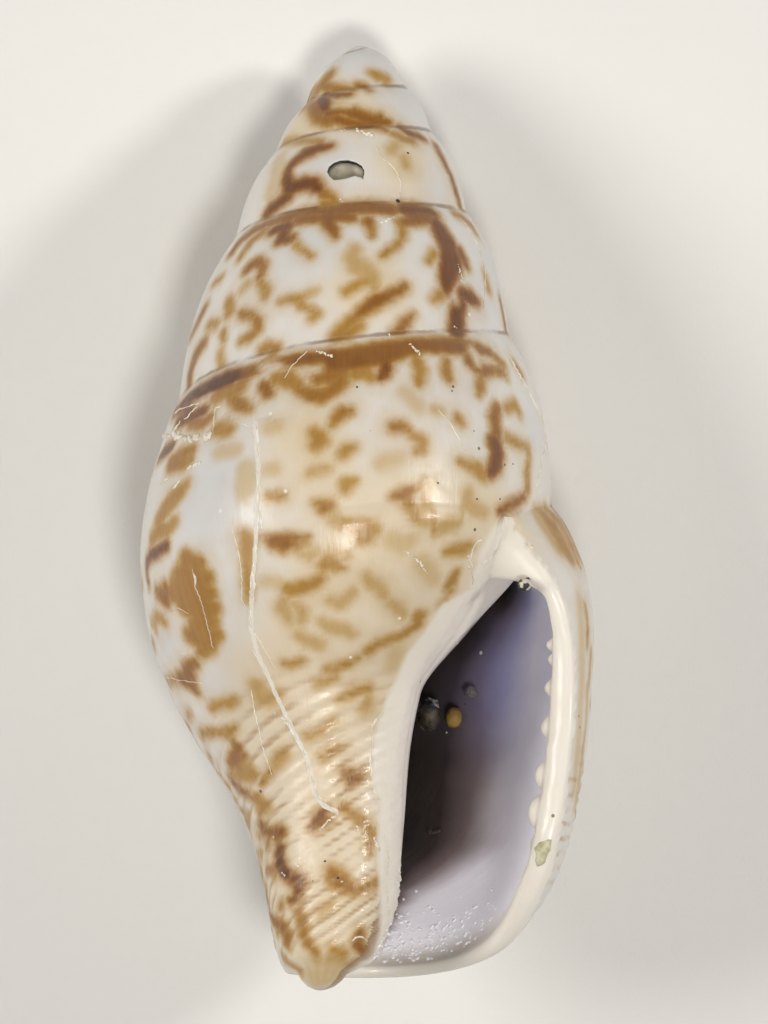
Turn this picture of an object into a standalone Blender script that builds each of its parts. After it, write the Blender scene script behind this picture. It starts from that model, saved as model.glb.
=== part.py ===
"""A small dove shell lying on its back with its aperture up, and the sand grains in its mouth.

Row frame in metres: +Z up, the apex towards +Y, the outer lip towards +X, the origin on the
surface that the shell rests on, under the middle of its outline.

The shell is described on its coiling axis. A turn is a full revolution of growth: turn 0 lies
on the lip side (+X), a quarter turn later the growth faces up, and growth winds towards the tip.
A drop is a distance from the apex down the axis. A reach runs from 0 at the suture of a whorl to
1 at the tip of the shell.
"""

import math

import bmesh
import bpy
from mathutils import Matrix, Vector

MM = 0.001

# Driving sizes of the shell, in millimetres
LENGTH = 14.0                # apex to tip along the axis
WALL = 0.36                  # whorl wall
LIP_WALL = 0.50              # outer lip, thickened
NOTCH_WALL = 0.20            # rim of the siphonal notch
CALLUS = 0.05                # glaze on the parietal wall and columella
LEAN = 0.44                  # how far the tip stands left of the axis
LEAN_START = 8.5             # drop at which the columella starts to lean
TIP_ROUND = ((0.36, 13.74), (0.24, 13.92))   # radius and drop of the columella's round end

# The suture: turn, radius and drop
SUTURE = (
    (-4.893, 0.00, 0.00), (-4.5, 0.35, 0.21), (-4.0, 0.66, 0.62), (-3.5, 0.82, 0.93),
    (-3.0, 1.02, 1.29), (-2.5, 1.26, 1.67), (-2.0, 1.55, 2.49), (-1.5, 1.82, 2.96),
    (-1.0, 2.18, 4.28), (-0.5, 2.61, 5.41), (0.0, 2.84, 6.82), (0.107, 2.78, 7.31),
)
# Whorl outlines: radius at each reach, one row for each turn of the growing shell
REACH = (0.0, 0.03, 0.08, 0.15, 0.25, 0.35, 0.45, 0.55, 0.65, 0.75, 0.85, 0.92, 0.97, 1.0)
WHORLS = (
    (-2.0, (1.55, 1.74, 1.86, 1.74, 1.13, 0.65, 0.52, 0.49, 0.49, 0.49, 0.49, 0.46, 0.38, 0.0)),
    (-1.5, (1.82, 1.99, 2.13, 2.18, 1.90, 1.21, 0.74, 0.58, 0.54, 0.52, 0.52, 0.49, 0.44, 0.0)),
    (-1.0, (2.18, 2.35, 2.57, 2.78, 2.85, 2.40, 1.60, 0.94, 0.86, 0.90, 0.96, 0.84, 0.58, 0.0)),
    (-0.5, (2.61, 2.74, 2.87, 3.03, 3.13, 3.04, 2.74, 2.21, 1.56, 1.14, 0.88, 0.69, 0.46, 0.0)),
    (0.0, (2.84, 3.01, 3.19, 3.37, 3.47, 3.48, 3.48, 3.44, 3.38, 3.24, 2.90, 2.48, 1.74, 0.0)),
    (0.107, (2.78, 2.90, 3.08, 3.25, 3.37, 3.43, 3.44, 3.41, 3.35, 3.21, 2.87, 2.45, 1.71, 0.0)),
)
SPIRE_BULGE = 0.075          # height of a spire whorl's curve over its chord
DOME_BULGE = 0.13            # the same on the first, smooth whorl

# The outer lip: share of its length, turn and reach
LIP = (
    (0.0, 0.107, 0.0), (0.06, 0.100, 0.06), (0.15, 0.075, 0.18), (0.26, 0.058, 0.36),
    (0.36, 0.052, 0.52), (0.46, 0.045, 0.68), (0.56, 0.020, 0.82), (0.64, -0.03, 0.90),
    (0.75, -0.12, 0.93), (0.88, -0.24, 0.94), (1.0, -0.36, 0.955),
)
# The inner lip on the body whorl: share of its length, turn and reach
INNER_LIP_START = 0.294
INNER_LIP = (
    (0.0, -0.893, INNER_LIP_START), (0.07, -0.897, 0.36), (0.3, -0.93, 0.50), (0.6, -0.97, 0.72),
    (0.85, -1.10, 0.90), (1.0, -1.36, 0.955),
)

# The cavity behind the lip
CANAL_TURNS = 0.45           # how far in the canal's open foot closes
LEVEL_TURN = -0.40           # where a section of the cavity first lies in one half plane
CANAL_FOOT = 0.80            # reach of the cavity's foot there
CAVITY_FOOT = 0.60           # and further in

# Teeth inside the outer lip: drop and half length along the growth
TEETH = (
    (8.82, 0.11), (9.12, 0.11), (9.38, 0.12), (9.72, 0.13), (10.32, 0.15),
    (11.00, 0.17), (11.70, 0.17), (12.30, 0.15),
)
TOOTH_DEPTH = 0.018          # how far behind the lip's edge the teeth stand, in turns

# The drill hole that another snail made in the fourth whorl
BORE_TURN = -2.727
BORE_SHARE = 0.54            # place between the sutures
BORE_MOUTH = 0.30            # radius where the drill started
BORE_THROAT = 0.22           # radius where it came through
BORE_SQUASH = 0.75           # height to width
BORE_DEPTH = 0.55

# How the shell lies
PITCH = math.radians(14.0)   # the apex points down by this much
FLAT_DEPTH = 0.20            # what the resting spot has lost
FLOOR_BLOCK = 30.0           # side of the block that wears the resting spot flat

# Sand grains: name, centre in the shell's frame, half sizes, colour, roughness, clear
GRAINS = (
    ("speckled_grain", (2.44, -8.34, 1.80), (0.11, 0.10, 0.10), (0.35, 0.33, 0.30), 0.55, False),
    ("clear_grain", (1.09, -9.45, -2.44), (0.20, 0.28, 0.22), (0.85, 0.88, 0.90), 0.10, True),
    ("small_clear_grain", (1.70, -9.14, -2.28), (0.10, 0.10, 0.09), (0.85, 0.88, 0.90), 0.10, True),
    ("amber_grain", (1.46, -9.50, -2.37), (0.13, 0.17, 0.11), (0.62, 0.36, 0.10), 0.35, False),
)

# Facets
COLUMNS = 40                 # around one turn
SPIRE_ROWS = 6               # suture to suture
LIP_ROWS = 20                # suture to the end of the lip
MOUTH_RINGS = 16             # cavity, first turn
DEEP_RINGS_PER_TURN = 14     # cavity, beyond the first turn
CAVITY_TURNS = 3.3           # how far the cavity winds in

FIRST_TURN = SUTURE[0][0]
SPIRE_TURNS = 5              # whole turns before the last one


def curve(points, x):
    """Monotone cubic through points of (x, y), which never overshoots them."""
    if x <= points[0][0]:
        return points[0][1]
    if x >= points[-1][0]:
        return points[-1][1]
    steps = [b[0] - a[0] for a, b in zip(points, points[1:])]
    slopes = [(b[1] - a[1]) / h for a, b, h in zip(points, points[1:], steps)]

    def tangent(k):
        if k in (0, len(slopes)):
            return slopes[min(k, len(slopes) - 1)]
        low, high = slopes[k - 1], slopes[k]
        if low * high <= 0.0:
            return 0.0
        w_low = 2.0 * steps[k] + steps[k - 1]
        w_high = steps[k] + 2.0 * steps[k - 1]
        return (w_low + w_high) / (w_low / low + w_high / high)

    k = max(n for n in range(len(steps)) if points[n][0] <= x)
    t = (x - points[k][0]) / steps[k]
    start, end = points[k][1], points[k + 1][1]
    return (
        start * (1 + 2 * t) * (1 - t) ** 2 + end * t * t * (3 - 2 * t)
        + steps[k] * (tangent(k) * t * (1 - t) ** 2 - tangent(k + 1) * t * t * (1 - t))
    )


def ramp(x, low, high):
    """Smooth step from 0 at low to 1 at high."""
    t = min(1.0, max(0.0, (x - low) / (high - low)))
    return t * t * (3.0 - 2.0 * t)


def mix(a, b, t):
    """Straight blend from a to b."""
    return a + (b - a) * t


def suture(turn):
    """Radius and drop of the suture."""
    radius = curve([(p[0], p[1]) for p in SUTURE], turn)
    drop = curve([(p[0], p[2]) for p in SUTURE], turn)
    return radius, drop


def whorl(turn, reach):
    """Radius and drop of the whole outline of a whorl."""
    rows = [(when, curve(list(zip(REACH, radii)), reach)) for when, radii in WHORLS]
    top = suture(turn)[1]
    return curve(rows, turn), mix(top, LENGTH, reach)


def band(turn, share):
    """Radius and drop on a spire whorl, share 0 at its upper suture and 1 at its lower one."""
    r0, d0 = suture(turn)
    r1, d1 = suture(turn + 1.0)
    height = mix(DOME_BULGE, SPIRE_BULGE, ramp(turn, FIRST_TURN, FIRST_TURN + 1.0))
    swell = height * math.sin(math.pi * share ** 0.85)
    return mix(r0, r1, share) + (d1 - d0) * swell, mix(d0, d1, share) - (r1 - r0) * swell


def inset(turn, reach, depth):
    """Radius and drop at a depth under the whorl's outline, square to it."""
    step = 0.004
    r0, d0 = whorl(turn, max(0.0, reach - step))
    r1, d1 = whorl(turn, min(1.0, reach + step))
    size = math.hypot(r1 - r0, d1 - d0)
    r, d = whorl(turn, reach)
    return r - depth * (d1 - d0) / size, d + depth * (r1 - r0) / size


def place(turn, radius, drop):
    """Point of the coil in the shell's own frame, in millimetres: the axis is Y, the apex 0."""
    angle = 2.0 * math.pi * turn
    lean = LEAN * max(0.0, (drop - LEAN_START) / (LENGTH - LEAN_START)) ** 1.5
    return Vector((radius * math.cos(angle) - lean, -drop, radius * math.sin(angle)))


def lip_at(share):
    """Turn and reach on the outer lip's edge."""
    return curve([(p[0], p[1]) for p in LIP], share), curve([(p[0], p[2]) for p in LIP], share)


def inner_lip_at(share):
    """Turn and reach on the inner lip's line."""
    turn = curve([(p[0], p[1]) for p in INNER_LIP], share)
    return turn, curve([(p[0], p[2]) for p in INNER_LIP], share)


def lip_wall(share):
    """Thickness of the lip along its length: it starts thin at the suture and ends at the notch."""
    return mix(mix(0.15, LIP_WALL, ramp(share, 0.0, 0.12)), NOTCH_WALL, ramp(share, 0.52, 0.75))


def outside_point(column, row):
    """Point of the last whorl's outside: column 0 is the inner lip, the last one the outer lip."""
    across = column / COLUMNS
    share = row / LIP_ROWS
    lip_turn, lip_reach = lip_at(share)
    if row <= SPIRE_ROWS:
        start_turn, start_reach = INNER_LIP[0][1], INNER_LIP_START * row / SPIRE_ROWS
    else:
        start_turn, start_reach = inner_lip_at((row - SPIRE_ROWS) / (LIP_ROWS - SPIRE_ROWS))
    turn = mix(start_turn, lip_turn, across)
    reach = mix(start_reach, lip_reach, ramp(across, 0.35, 1.0))
    radius, drop = whorl(turn, reach)
    if row <= SPIRE_ROWS and across < 0.25:
        held = ramp(across, 0.0, 0.25)
        band_radius, band_drop = band(turn, row / SPIRE_ROWS)
        radius, drop = mix(band_radius, radius, held), mix(band_drop, drop, held)
    return place(turn, radius, drop)


def mouth_ring(depth):
    """Loop of the cavity a part of a turn inside the lip: top, outer side down, inner side up."""
    settle = min(1.0, depth / CANAL_TURNS)
    level_turn = LEVEL_TURN - max(0.0, depth - CANAL_TURNS)
    foot = mix(CANAL_FOOT, CAVITY_FOOT, ramp(depth, CANAL_TURNS, 1.0))
    points = []
    for row in range(LIP_ROWS + 1):
        share = row / LIP_ROWS
        lip_turn, lip_reach = lip_at(share)
        corner = mix(0.06, 0.07, settle) * max(0.0, 1.0 - share / 0.3)
        turn = mix(lip_turn, level_turn, settle)
        reach = mix(lip_reach, foot * share, settle) + corner
        wall = mix(lip_wall(share), WALL, ramp(depth, 0.0, 0.09))
        radius, drop = inset(turn, reach, wall)
        inner = whorl(turn - 1.0, reach_at(turn - 1.0, drop))[0] + CALLUS
        points.append(place(turn, max(radius, inner + 0.08), drop))
    for row in range(LIP_ROWS, SPIRE_ROWS, -1):
        share = (row - SPIRE_ROWS) / (LIP_ROWS - SPIRE_ROWS)
        start_turn, start_reach = inner_lip_at(share)
        turn = mix(start_turn, level_turn - 1.0, settle)
        top = reach_at(turn, suture(turn + 1.0)[1] + WALL)
        low = reach_at(turn, whorl(turn + 1.0, foot)[1])
        reach = mix(start_reach, mix(top, low, share), settle)
        radius, drop = inset(turn, reach, -CALLUS * ramp(depth, 0.0, 0.05))
        points.append(place(turn, radius, drop))
    return points


def reach_at(turn, drop):
    """Reach of a drop on the whorl's outline."""
    top = suture(turn)[1]
    return min(1.0, max(0.0, (drop - top) / (LENGTH - top)))


def deep_ring(turn):
    """Loop of the cavity in the spire, from four corners: top, outer foot, inner foot, inner top."""
    r0, d0 = suture(turn)
    r1, d1 = suture(turn + 1.0)
    corners = (
        (0.87 * r0, d0 + 0.14 * r0), (0.86 * r1, d1 - 0.02 * r1),
        (0.32 * r1, d1 + 0.52 * r1), (0.30 * r0, d0 + 0.80 * r0),
    )
    middle = [sum(c[k] for c in corners) / 4.0 for k in (0, 1)]
    outer_steps, inner_steps = LIP_ROWS, LIP_ROWS - SPIRE_ROWS
    points = []
    for step in range(outer_steps + 1 + inner_steps):
        if step <= outer_steps:
            way = 2.0 * step / outer_steps
        else:
            way = 2.0 + 2.0 * (step - outer_steps) / (inner_steps + 1)
        side = min(3, int(way))
        start, end = corners[side], corners[(side + 1) % 4]
        share = way - side
        round_off = 1.0 - 0.10 * (1.0 - math.sin(math.pi * share))
        r = middle[0] + (mix(start[0], end[0], share) - middle[0]) * round_off
        d = middle[1] + (mix(start[1], end[1], share) - middle[1]) * round_off
        points.append(place(turn, r, d))
    return points


def cavity_rings():
    """Loops of the cavity behind the lip, ending deep in the spire."""
    rings = []
    for step in range(1, MOUTH_RINGS + 1):
        depth = (step / MOUTH_RINGS) ** 1.25
        near = mouth_ring(depth)
        far = deep_ring(LEVEL_TURN + CANAL_TURNS - depth)
        share = ramp(depth, CANAL_TURNS, 1.0)
        rings.append([a.lerp(b, share) for a, b in zip(near, far)])
    steps = round((CAVITY_TURNS - 1.0) * DEEP_RINGS_PER_TURN)
    for step in range(1, steps + 1):
        turn = LEVEL_TURN + CANAL_TURNS - 1.0 - step / DEEP_RINGS_PER_TURN
        rings.append(deep_ring(turn))
    return rings


def build_shell_mesh():
    """Skin of the whole shell: outside, rounded lip and cavity, as one closed body."""
    bm = bmesh.new()
    at = {}
    first = -SPIRE_TURNS * COLUMNS
    for column in range(0, COLUMNS + 1):
        for row in range(LIP_ROWS + 1):
            if (column, row) != (COLUMNS, 0):
                at[column, row] = bm.verts.new(outside_point(column, row))
    at[COLUMNS, 0] = at[0, SPIRE_ROWS]
    tip = bm.verts.new(place(0.0, 0.0, LENGTH))
    for tip_row, (radius, drop) in enumerate(TIP_ROUND, start=LIP_ROWS + 1):
        for column in range(COLUMNS):
            turn = mix(INNER_LIP[-1][1], LIP[-1][1], column / COLUMNS)
            at[column, tip_row] = bm.verts.new(place(turn, radius, drop))
        at[COLUMNS, tip_row] = at[0, tip_row]
    apex = bm.verts.new(Vector((0.0, 0.0, 0.0)))
    for column in range(-1, first, -1):
        turn = INNER_LIP[0][1] + column / COLUMNS
        at[column, SPIRE_ROWS] = at[column + COLUMNS, 0]
        for row in range(SPIRE_ROWS):
            if turn <= FIRST_TURN and row == 0:
                at[column, row] = apex
            else:
                at[column, row] = bm.verts.new(place(turn, *band(turn, row / SPIRE_ROWS)))
    for row in range(SPIRE_ROWS + 1):
        at[first, row] = apex

    def face(*corners):
        unique = list(dict.fromkeys(corners))
        if len(unique) > 2:
            bm.faces.new(unique)

    for column in range(first, COLUMNS):
        rows = tip_row if column >= 0 else SPIRE_ROWS
        for row in range(rows):
            face(at[column, row], at[column, row + 1], at[column + 1, row + 1], at[column + 1, row])
    for column in range(COLUMNS):
        face(at[column, tip_row], tip, at[column + 1, tip_row])

    edge = [at[COLUMNS, row] for row in range(LIP_ROWS + 1)]
    lining = [bm.verts.new(point) for point in mouth_ring(0.0)[:LIP_ROWS + 1]]
    crown = [edge[0]]
    for row in range(1, LIP_ROWS + 1):
        along = edge[min(row + 1, LIP_ROWS)].co - edge[row - 1].co
        outward = along.cross(edge[row].co - lining[row].co).normalized()
        middle = edge[row].co.lerp(lining[row].co, 0.45)
        crown.append(bm.verts.new(middle + outward * (0.35 * lip_wall(row / LIP_ROWS))))
    for near, far in ((edge, crown), (crown, lining)):
        for row in range(LIP_ROWS):
            face(near[row], near[row + 1], far[row + 1], far[row])
    face(edge[0], lining[0], at[0, SPIRE_ROWS + 1])
    for start, end in ((edge[-1], crown[-1]), (crown[-1], lining[-1]), (lining[-1], at[0, LIP_ROWS])):
        face(start, at[0, LIP_ROWS + 1], end)

    ring = lining + [at[0, row] for row in range(LIP_ROWS, SPIRE_ROWS, -1)]
    for points in cavity_rings():
        deeper = [bm.verts.new(point) for point in points]
        for k, vertex in enumerate(ring):
            face(vertex, ring[(k + 1) % len(ring)], deeper[(k + 1) % len(ring)], deeper[k])
        ring = deeper
    end = bm.verts.new(sum((v.co for v in ring), Vector()) / len(ring))
    for k, vertex in enumerate(ring):
        face(vertex, ring[(k + 1) % len(ring)], end)
    bmesh.ops.remove_doubles(bm, verts=bm.verts, dist=0.0004)
    bmesh.ops.recalc_face_normals(bm, faces=bm.faces)
    return bm


def material(name, colour, roughness, transmission=0.0):
    """Principled material."""
    made = bpy.data.materials.new(name)
    made.use_nodes = True
    shader = made.node_tree.nodes["Principled BSDF"]
    shader.inputs["Base Color"].default_value = (*colour, 1.0)
    shader.inputs["Roughness"].default_value = roughness
    shader.inputs["Metallic"].default_value = 0.0
    shader.inputs["Transmission Weight"].default_value = transmission
    return made


def add_object(name, bm, collection, parent=None):
    """Turn a mesh in millimetres into an object in metres, shaded smooth."""
    bmesh.ops.scale(bm, vec=(MM, MM, MM), verts=bm.verts)
    mesh = bpy.data.meshes.new(name)
    bm.to_mesh(mesh)
    bm.free()
    mesh.shade_smooth()
    mesh.set_sharp_from_angle(angle=math.radians(50.0))
    made = bpy.data.objects.new(name, mesh)
    made.parent = parent
    collection.objects.link(made)
    return made


def add_tool(name, bm, collection, parent=None):
    """An object that only cuts or joins."""
    made = add_object(name, bm, collection, parent)
    made.hide_render = True
    made.display_type = 'WIRE'
    return made


def resting_pose(bm):
    """Matrix in metres that lays the shell on its back over the origin."""
    turned = Matrix.Rotation(-PITCH, 4, 'X')
    points = [turned @ v.co for v in bm.verts]
    low = [min(p[k] for p in points) for k in range(3)]
    high = [max(p[k] for p in points) for k in range(3)]
    middle = Vector(((low[0] + high[0]) / 2, (low[1] + high[1]) / 2, low[2] + FLAT_DEPTH))
    return Matrix.Translation(-middle * MM) @ turned


def add_teeth(tools, parent):
    """Blunt teeth along the inside of the outer lip."""
    line = mouth_ring(TOOTH_DEPTH)[:LIP_ROWS + 1]
    by_drop = sorted((-p.y, p.x, p.z) for p in line)
    for number, (drop, size) in enumerate(TEETH, start=1):
        x = curve([(p[0], p[1]) for p in by_drop], drop)
        z = curve([(p[0], p[2]) for p in by_drop], drop)
        bm = bmesh.new()
        bmesh.ops.create_uvsphere(bm, u_segments=10, v_segments=6, radius=1.0)
        bmesh.ops.scale(bm, vec=(0.9 * size, 0.8 * size, 1.3 * size), verts=bm.verts)
        bmesh.ops.rotate(bm, matrix=Matrix.Rotation(math.radians(15.0), 3, 'Y'), verts=bm.verts)
        bmesh.ops.translate(bm, vec=(x, -drop, z), verts=bm.verts)
        add_tool(f"tooth_{number}", bm, tools, parent)


def add_bore_cutter(tools, parent):
    """Tapered drill hole, square to the whorl."""
    radius, drop = band(BORE_TURN, BORE_SHARE)
    before, after = band(BORE_TURN, BORE_SHARE - 0.05), band(BORE_TURN, BORE_SHARE + 0.05)
    centre = place(BORE_TURN, radius, drop)
    down = place(BORE_TURN, *after) - place(BORE_TURN, *before)
    around = place(BORE_TURN + 0.01, radius, drop) - place(BORE_TURN - 0.01, radius, drop)
    outward = around.cross(down).normalized()
    if outward.z < 0.0:
        outward.negate()
    bm = bmesh.new()
    bmesh.ops.create_cone(
        bm, cap_ends=True, segments=20, radius1=BORE_THROAT, radius2=BORE_MOUTH, depth=BORE_DEPTH,
    )
    bmesh.ops.scale(bm, vec=(1.0, BORE_SQUASH, 1.0), verts=bm.verts)
    side = around.normalized()
    frame = Matrix((side, outward.cross(side), outward)).transposed()
    bmesh.ops.rotate(bm, matrix=frame, verts=bm.verts)
    reach_in = outward * (0.06 - BORE_DEPTH / 2.0)
    bmesh.ops.translate(bm, vec=centre + reach_in, verts=bm.verts)
    return add_tool("bore_cutter", bm, tools, parent)


def add_floor_cutter(tools):
    """Block whose top face is the surface that the shell rests on."""
    bm = bmesh.new()
    bmesh.ops.create_cube(bm, size=FLOOR_BLOCK)
    bmesh.ops.translate(bm, vec=(0.0, 0.0, -FLOOR_BLOCK / 2.0), verts=bm.verts)
    return add_tool("floor_cutter", bm, tools)


def add_grain(name, centre, sizes, collection, parent):
    """A worn grain of sand, slightly angular."""
    bm = bmesh.new()
    bmesh.ops.create_icosphere(bm, subdivisions=2, radius=1.0)
    for vertex in bm.verts:
        x, y, z = vertex.co
        vertex.co *= 1.0 - 0.12 * abs(math.sin(3.1 * x + 1.7 * y)) * abs(math.cos(2.3 * z - y))
    bmesh.ops.scale(bm, vec=sizes, verts=bm.verts)
    bmesh.ops.translate(bm, vec=centre, verts=bm.verts)
    return add_object(name, bm, collection, parent)


def boolean(target, kind, operation, operand):
    """Boolean modifier with one object or a collection of them."""
    modifier = target.modifiers.new(f"{operation.lower()}_{operand.name}", 'BOOLEAN')
    modifier.operation = operation
    modifier.operand_type = kind
    if kind == 'OBJECT':
        modifier.object = operand
    else:
        modifier.collection = operand
    modifier.solver = 'EXACT'


def main():
    """Build the shell and its grains."""
    for old in list(bpy.data.objects):
        bpy.data.objects.remove(old, do_unlink=True)
    model = bpy.data.collections.new("dove_shell")
    tools = bpy.data.collections.new("cutters")
    teeth = bpy.data.collections.new("teeth")
    for collection in (model, tools):
        bpy.context.scene.collection.children.link(collection)
    tools.children.link(teeth)

    bm = build_shell_mesh()
    pose = bpy.data.objects.new("resting_pose", None)
    pose.matrix_world = resting_pose(bm)
    model.objects.link(pose)

    shell = add_object("shell", bm, model, pose)
    shell.data.materials.append(material("glossy_shell", (0.74, 0.62, 0.46), 0.22))
    add_teeth(teeth, pose)
    boolean(shell, 'COLLECTION', 'UNION', teeth)
    boolean(shell, 'OBJECT', 'DIFFERENCE', add_bore_cutter(tools, pose))
    boolean(shell, 'OBJECT', 'DIFFERENCE', add_floor_cutter(tools))

    for name, centre, sizes, colour, roughness, clear in GRAINS:
        grain = add_grain(name, centre, sizes, model, pose)
        grain.data.materials.append(material(name, colour, roughness, 1.0 if clear else 0.0))


main()
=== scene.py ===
"""Looks of a small dove shell lying on its back with its aperture up, and the sand in its mouth.

Row frame in metres: +Z up, the apex towards +Y, the outer lip towards +X. The shell is described
in millimetres on its coiling axis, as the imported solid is: a turn is a full revolution of growth,
a drop is a distance from the apex down the axis, and a reach runs from 0 at the suture of a whorl
to 1 at the tip of the shell. Marks on the side that faces the camera are placed in the picture
plane, in picture points of 0.01452 mm, x to the right and y down.
"""

import logging
import math
from dataclasses import dataclass
from enum import Enum

import bmesh
import bpy
import numpy as np
from mathutils import Matrix, Vector, kdtree
from mathutils.bvhtree import BVHTree


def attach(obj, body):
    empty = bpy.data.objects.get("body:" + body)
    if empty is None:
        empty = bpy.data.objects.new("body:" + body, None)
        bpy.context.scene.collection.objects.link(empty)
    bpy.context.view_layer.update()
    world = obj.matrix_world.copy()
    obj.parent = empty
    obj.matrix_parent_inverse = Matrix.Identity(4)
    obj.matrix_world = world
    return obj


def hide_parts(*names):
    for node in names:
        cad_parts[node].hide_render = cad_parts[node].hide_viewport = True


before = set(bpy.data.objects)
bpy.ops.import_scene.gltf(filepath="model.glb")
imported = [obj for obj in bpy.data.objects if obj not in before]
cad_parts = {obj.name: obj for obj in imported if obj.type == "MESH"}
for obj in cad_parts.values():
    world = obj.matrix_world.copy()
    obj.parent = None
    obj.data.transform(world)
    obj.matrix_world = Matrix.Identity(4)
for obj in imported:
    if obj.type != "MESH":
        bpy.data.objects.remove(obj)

MM = 0.001
LOG = logging.getLogger("dove_shell")

Point = tuple[float, float, float]
Colour = tuple[float, float, float]
Number = float | np.ndarray
Socket = bpy.types.NodeSocket
Value = Socket | float | tuple


# Helpers for numbers and meshes

def monotone(knots: tuple, values: np.ndarray, x: np.ndarray) -> np.ndarray:
    """Monotone cubic through values at knots, held at both ends.

    Args:
        knots: Places of the values, rising.
        values: One value per knot, or one row of len(x) values per knot.
        x: Places to read.

    Returns:
        The curve at x.
    """
    knots = np.asarray(knots, float)
    values = np.asarray(values, float)
    x = np.atleast_1d(np.asarray(x, float))
    if values.ndim == 1:
        values = np.broadcast_to(values[:, None], (len(values), len(x)))
    steps = np.diff(knots)[:, None]
    slopes = np.diff(values, axis=0) / steps
    low, high = slopes[:-1], slopes[1:]
    w_low = 2.0 * steps[1:] + steps[:-1]
    w_high = steps[1:] + 2.0 * steps[:-1]
    same = low * high > 0.0
    safe_low, safe_high = np.where(same, low, 1.0), np.where(same, high, 1.0)
    inner = np.where(same, (w_low + w_high) / (w_low / safe_low + w_high / safe_high), 0.0)
    tangents = np.vstack([slopes[:1], inner, slopes[-1:]])
    cell = np.clip(np.searchsorted(knots, x, side="right") - 1, 0, len(knots) - 2)
    column = np.arange(len(x))
    span = np.diff(knots)[cell]
    t = np.clip((x - knots[cell]) / span, 0.0, 1.0)
    start, end = values[cell, column], values[cell + 1, column]
    return (
        start * (1 + 2 * t) * (1 - t) ** 2 + end * t * t * (3 - 2 * t)
        + span * (tangents[cell, column] * t * (1 - t) ** 2
                  - tangents[cell + 1, column] * t * t * (1 - t))
    )


def ramp(x: np.ndarray, low: float, high: float) -> np.ndarray:
    """Smooth step from 0 at low to 1 at high."""
    t = np.clip((np.asarray(x, float) - low) / (high - low), 0.0, 1.0)
    return t * t * (3.0 - 2.0 * t)


def mix(a: Number, b: Number, t: Number) -> Number:
    """Straight blend from a to b."""
    return a + (b - a) * t


def bridge(bm: bmesh.types.BMesh, rows: list) -> None:
    """Join closed rows of as many corners each with faces."""
    for near, far in zip(rows, rows[1:]):
        for k in range(len(near)):
            after = (k + 1) % len(near)
            bm.faces.new((near[k], near[after], far[after], far[k]))


def new_object(bm: bmesh.types.BMesh, name: str) -> bpy.types.Object:
    """Turn a mesh into a smooth object of the scene, which uses the mesh up."""
    mesh = bpy.data.meshes.new(name)
    bm.to_mesh(mesh)
    bm.free()
    mesh.shade_smooth()
    made = bpy.data.objects.new(name, mesh)
    bpy.context.scene.collection.objects.link(made)
    return made


# The form of the shell

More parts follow.
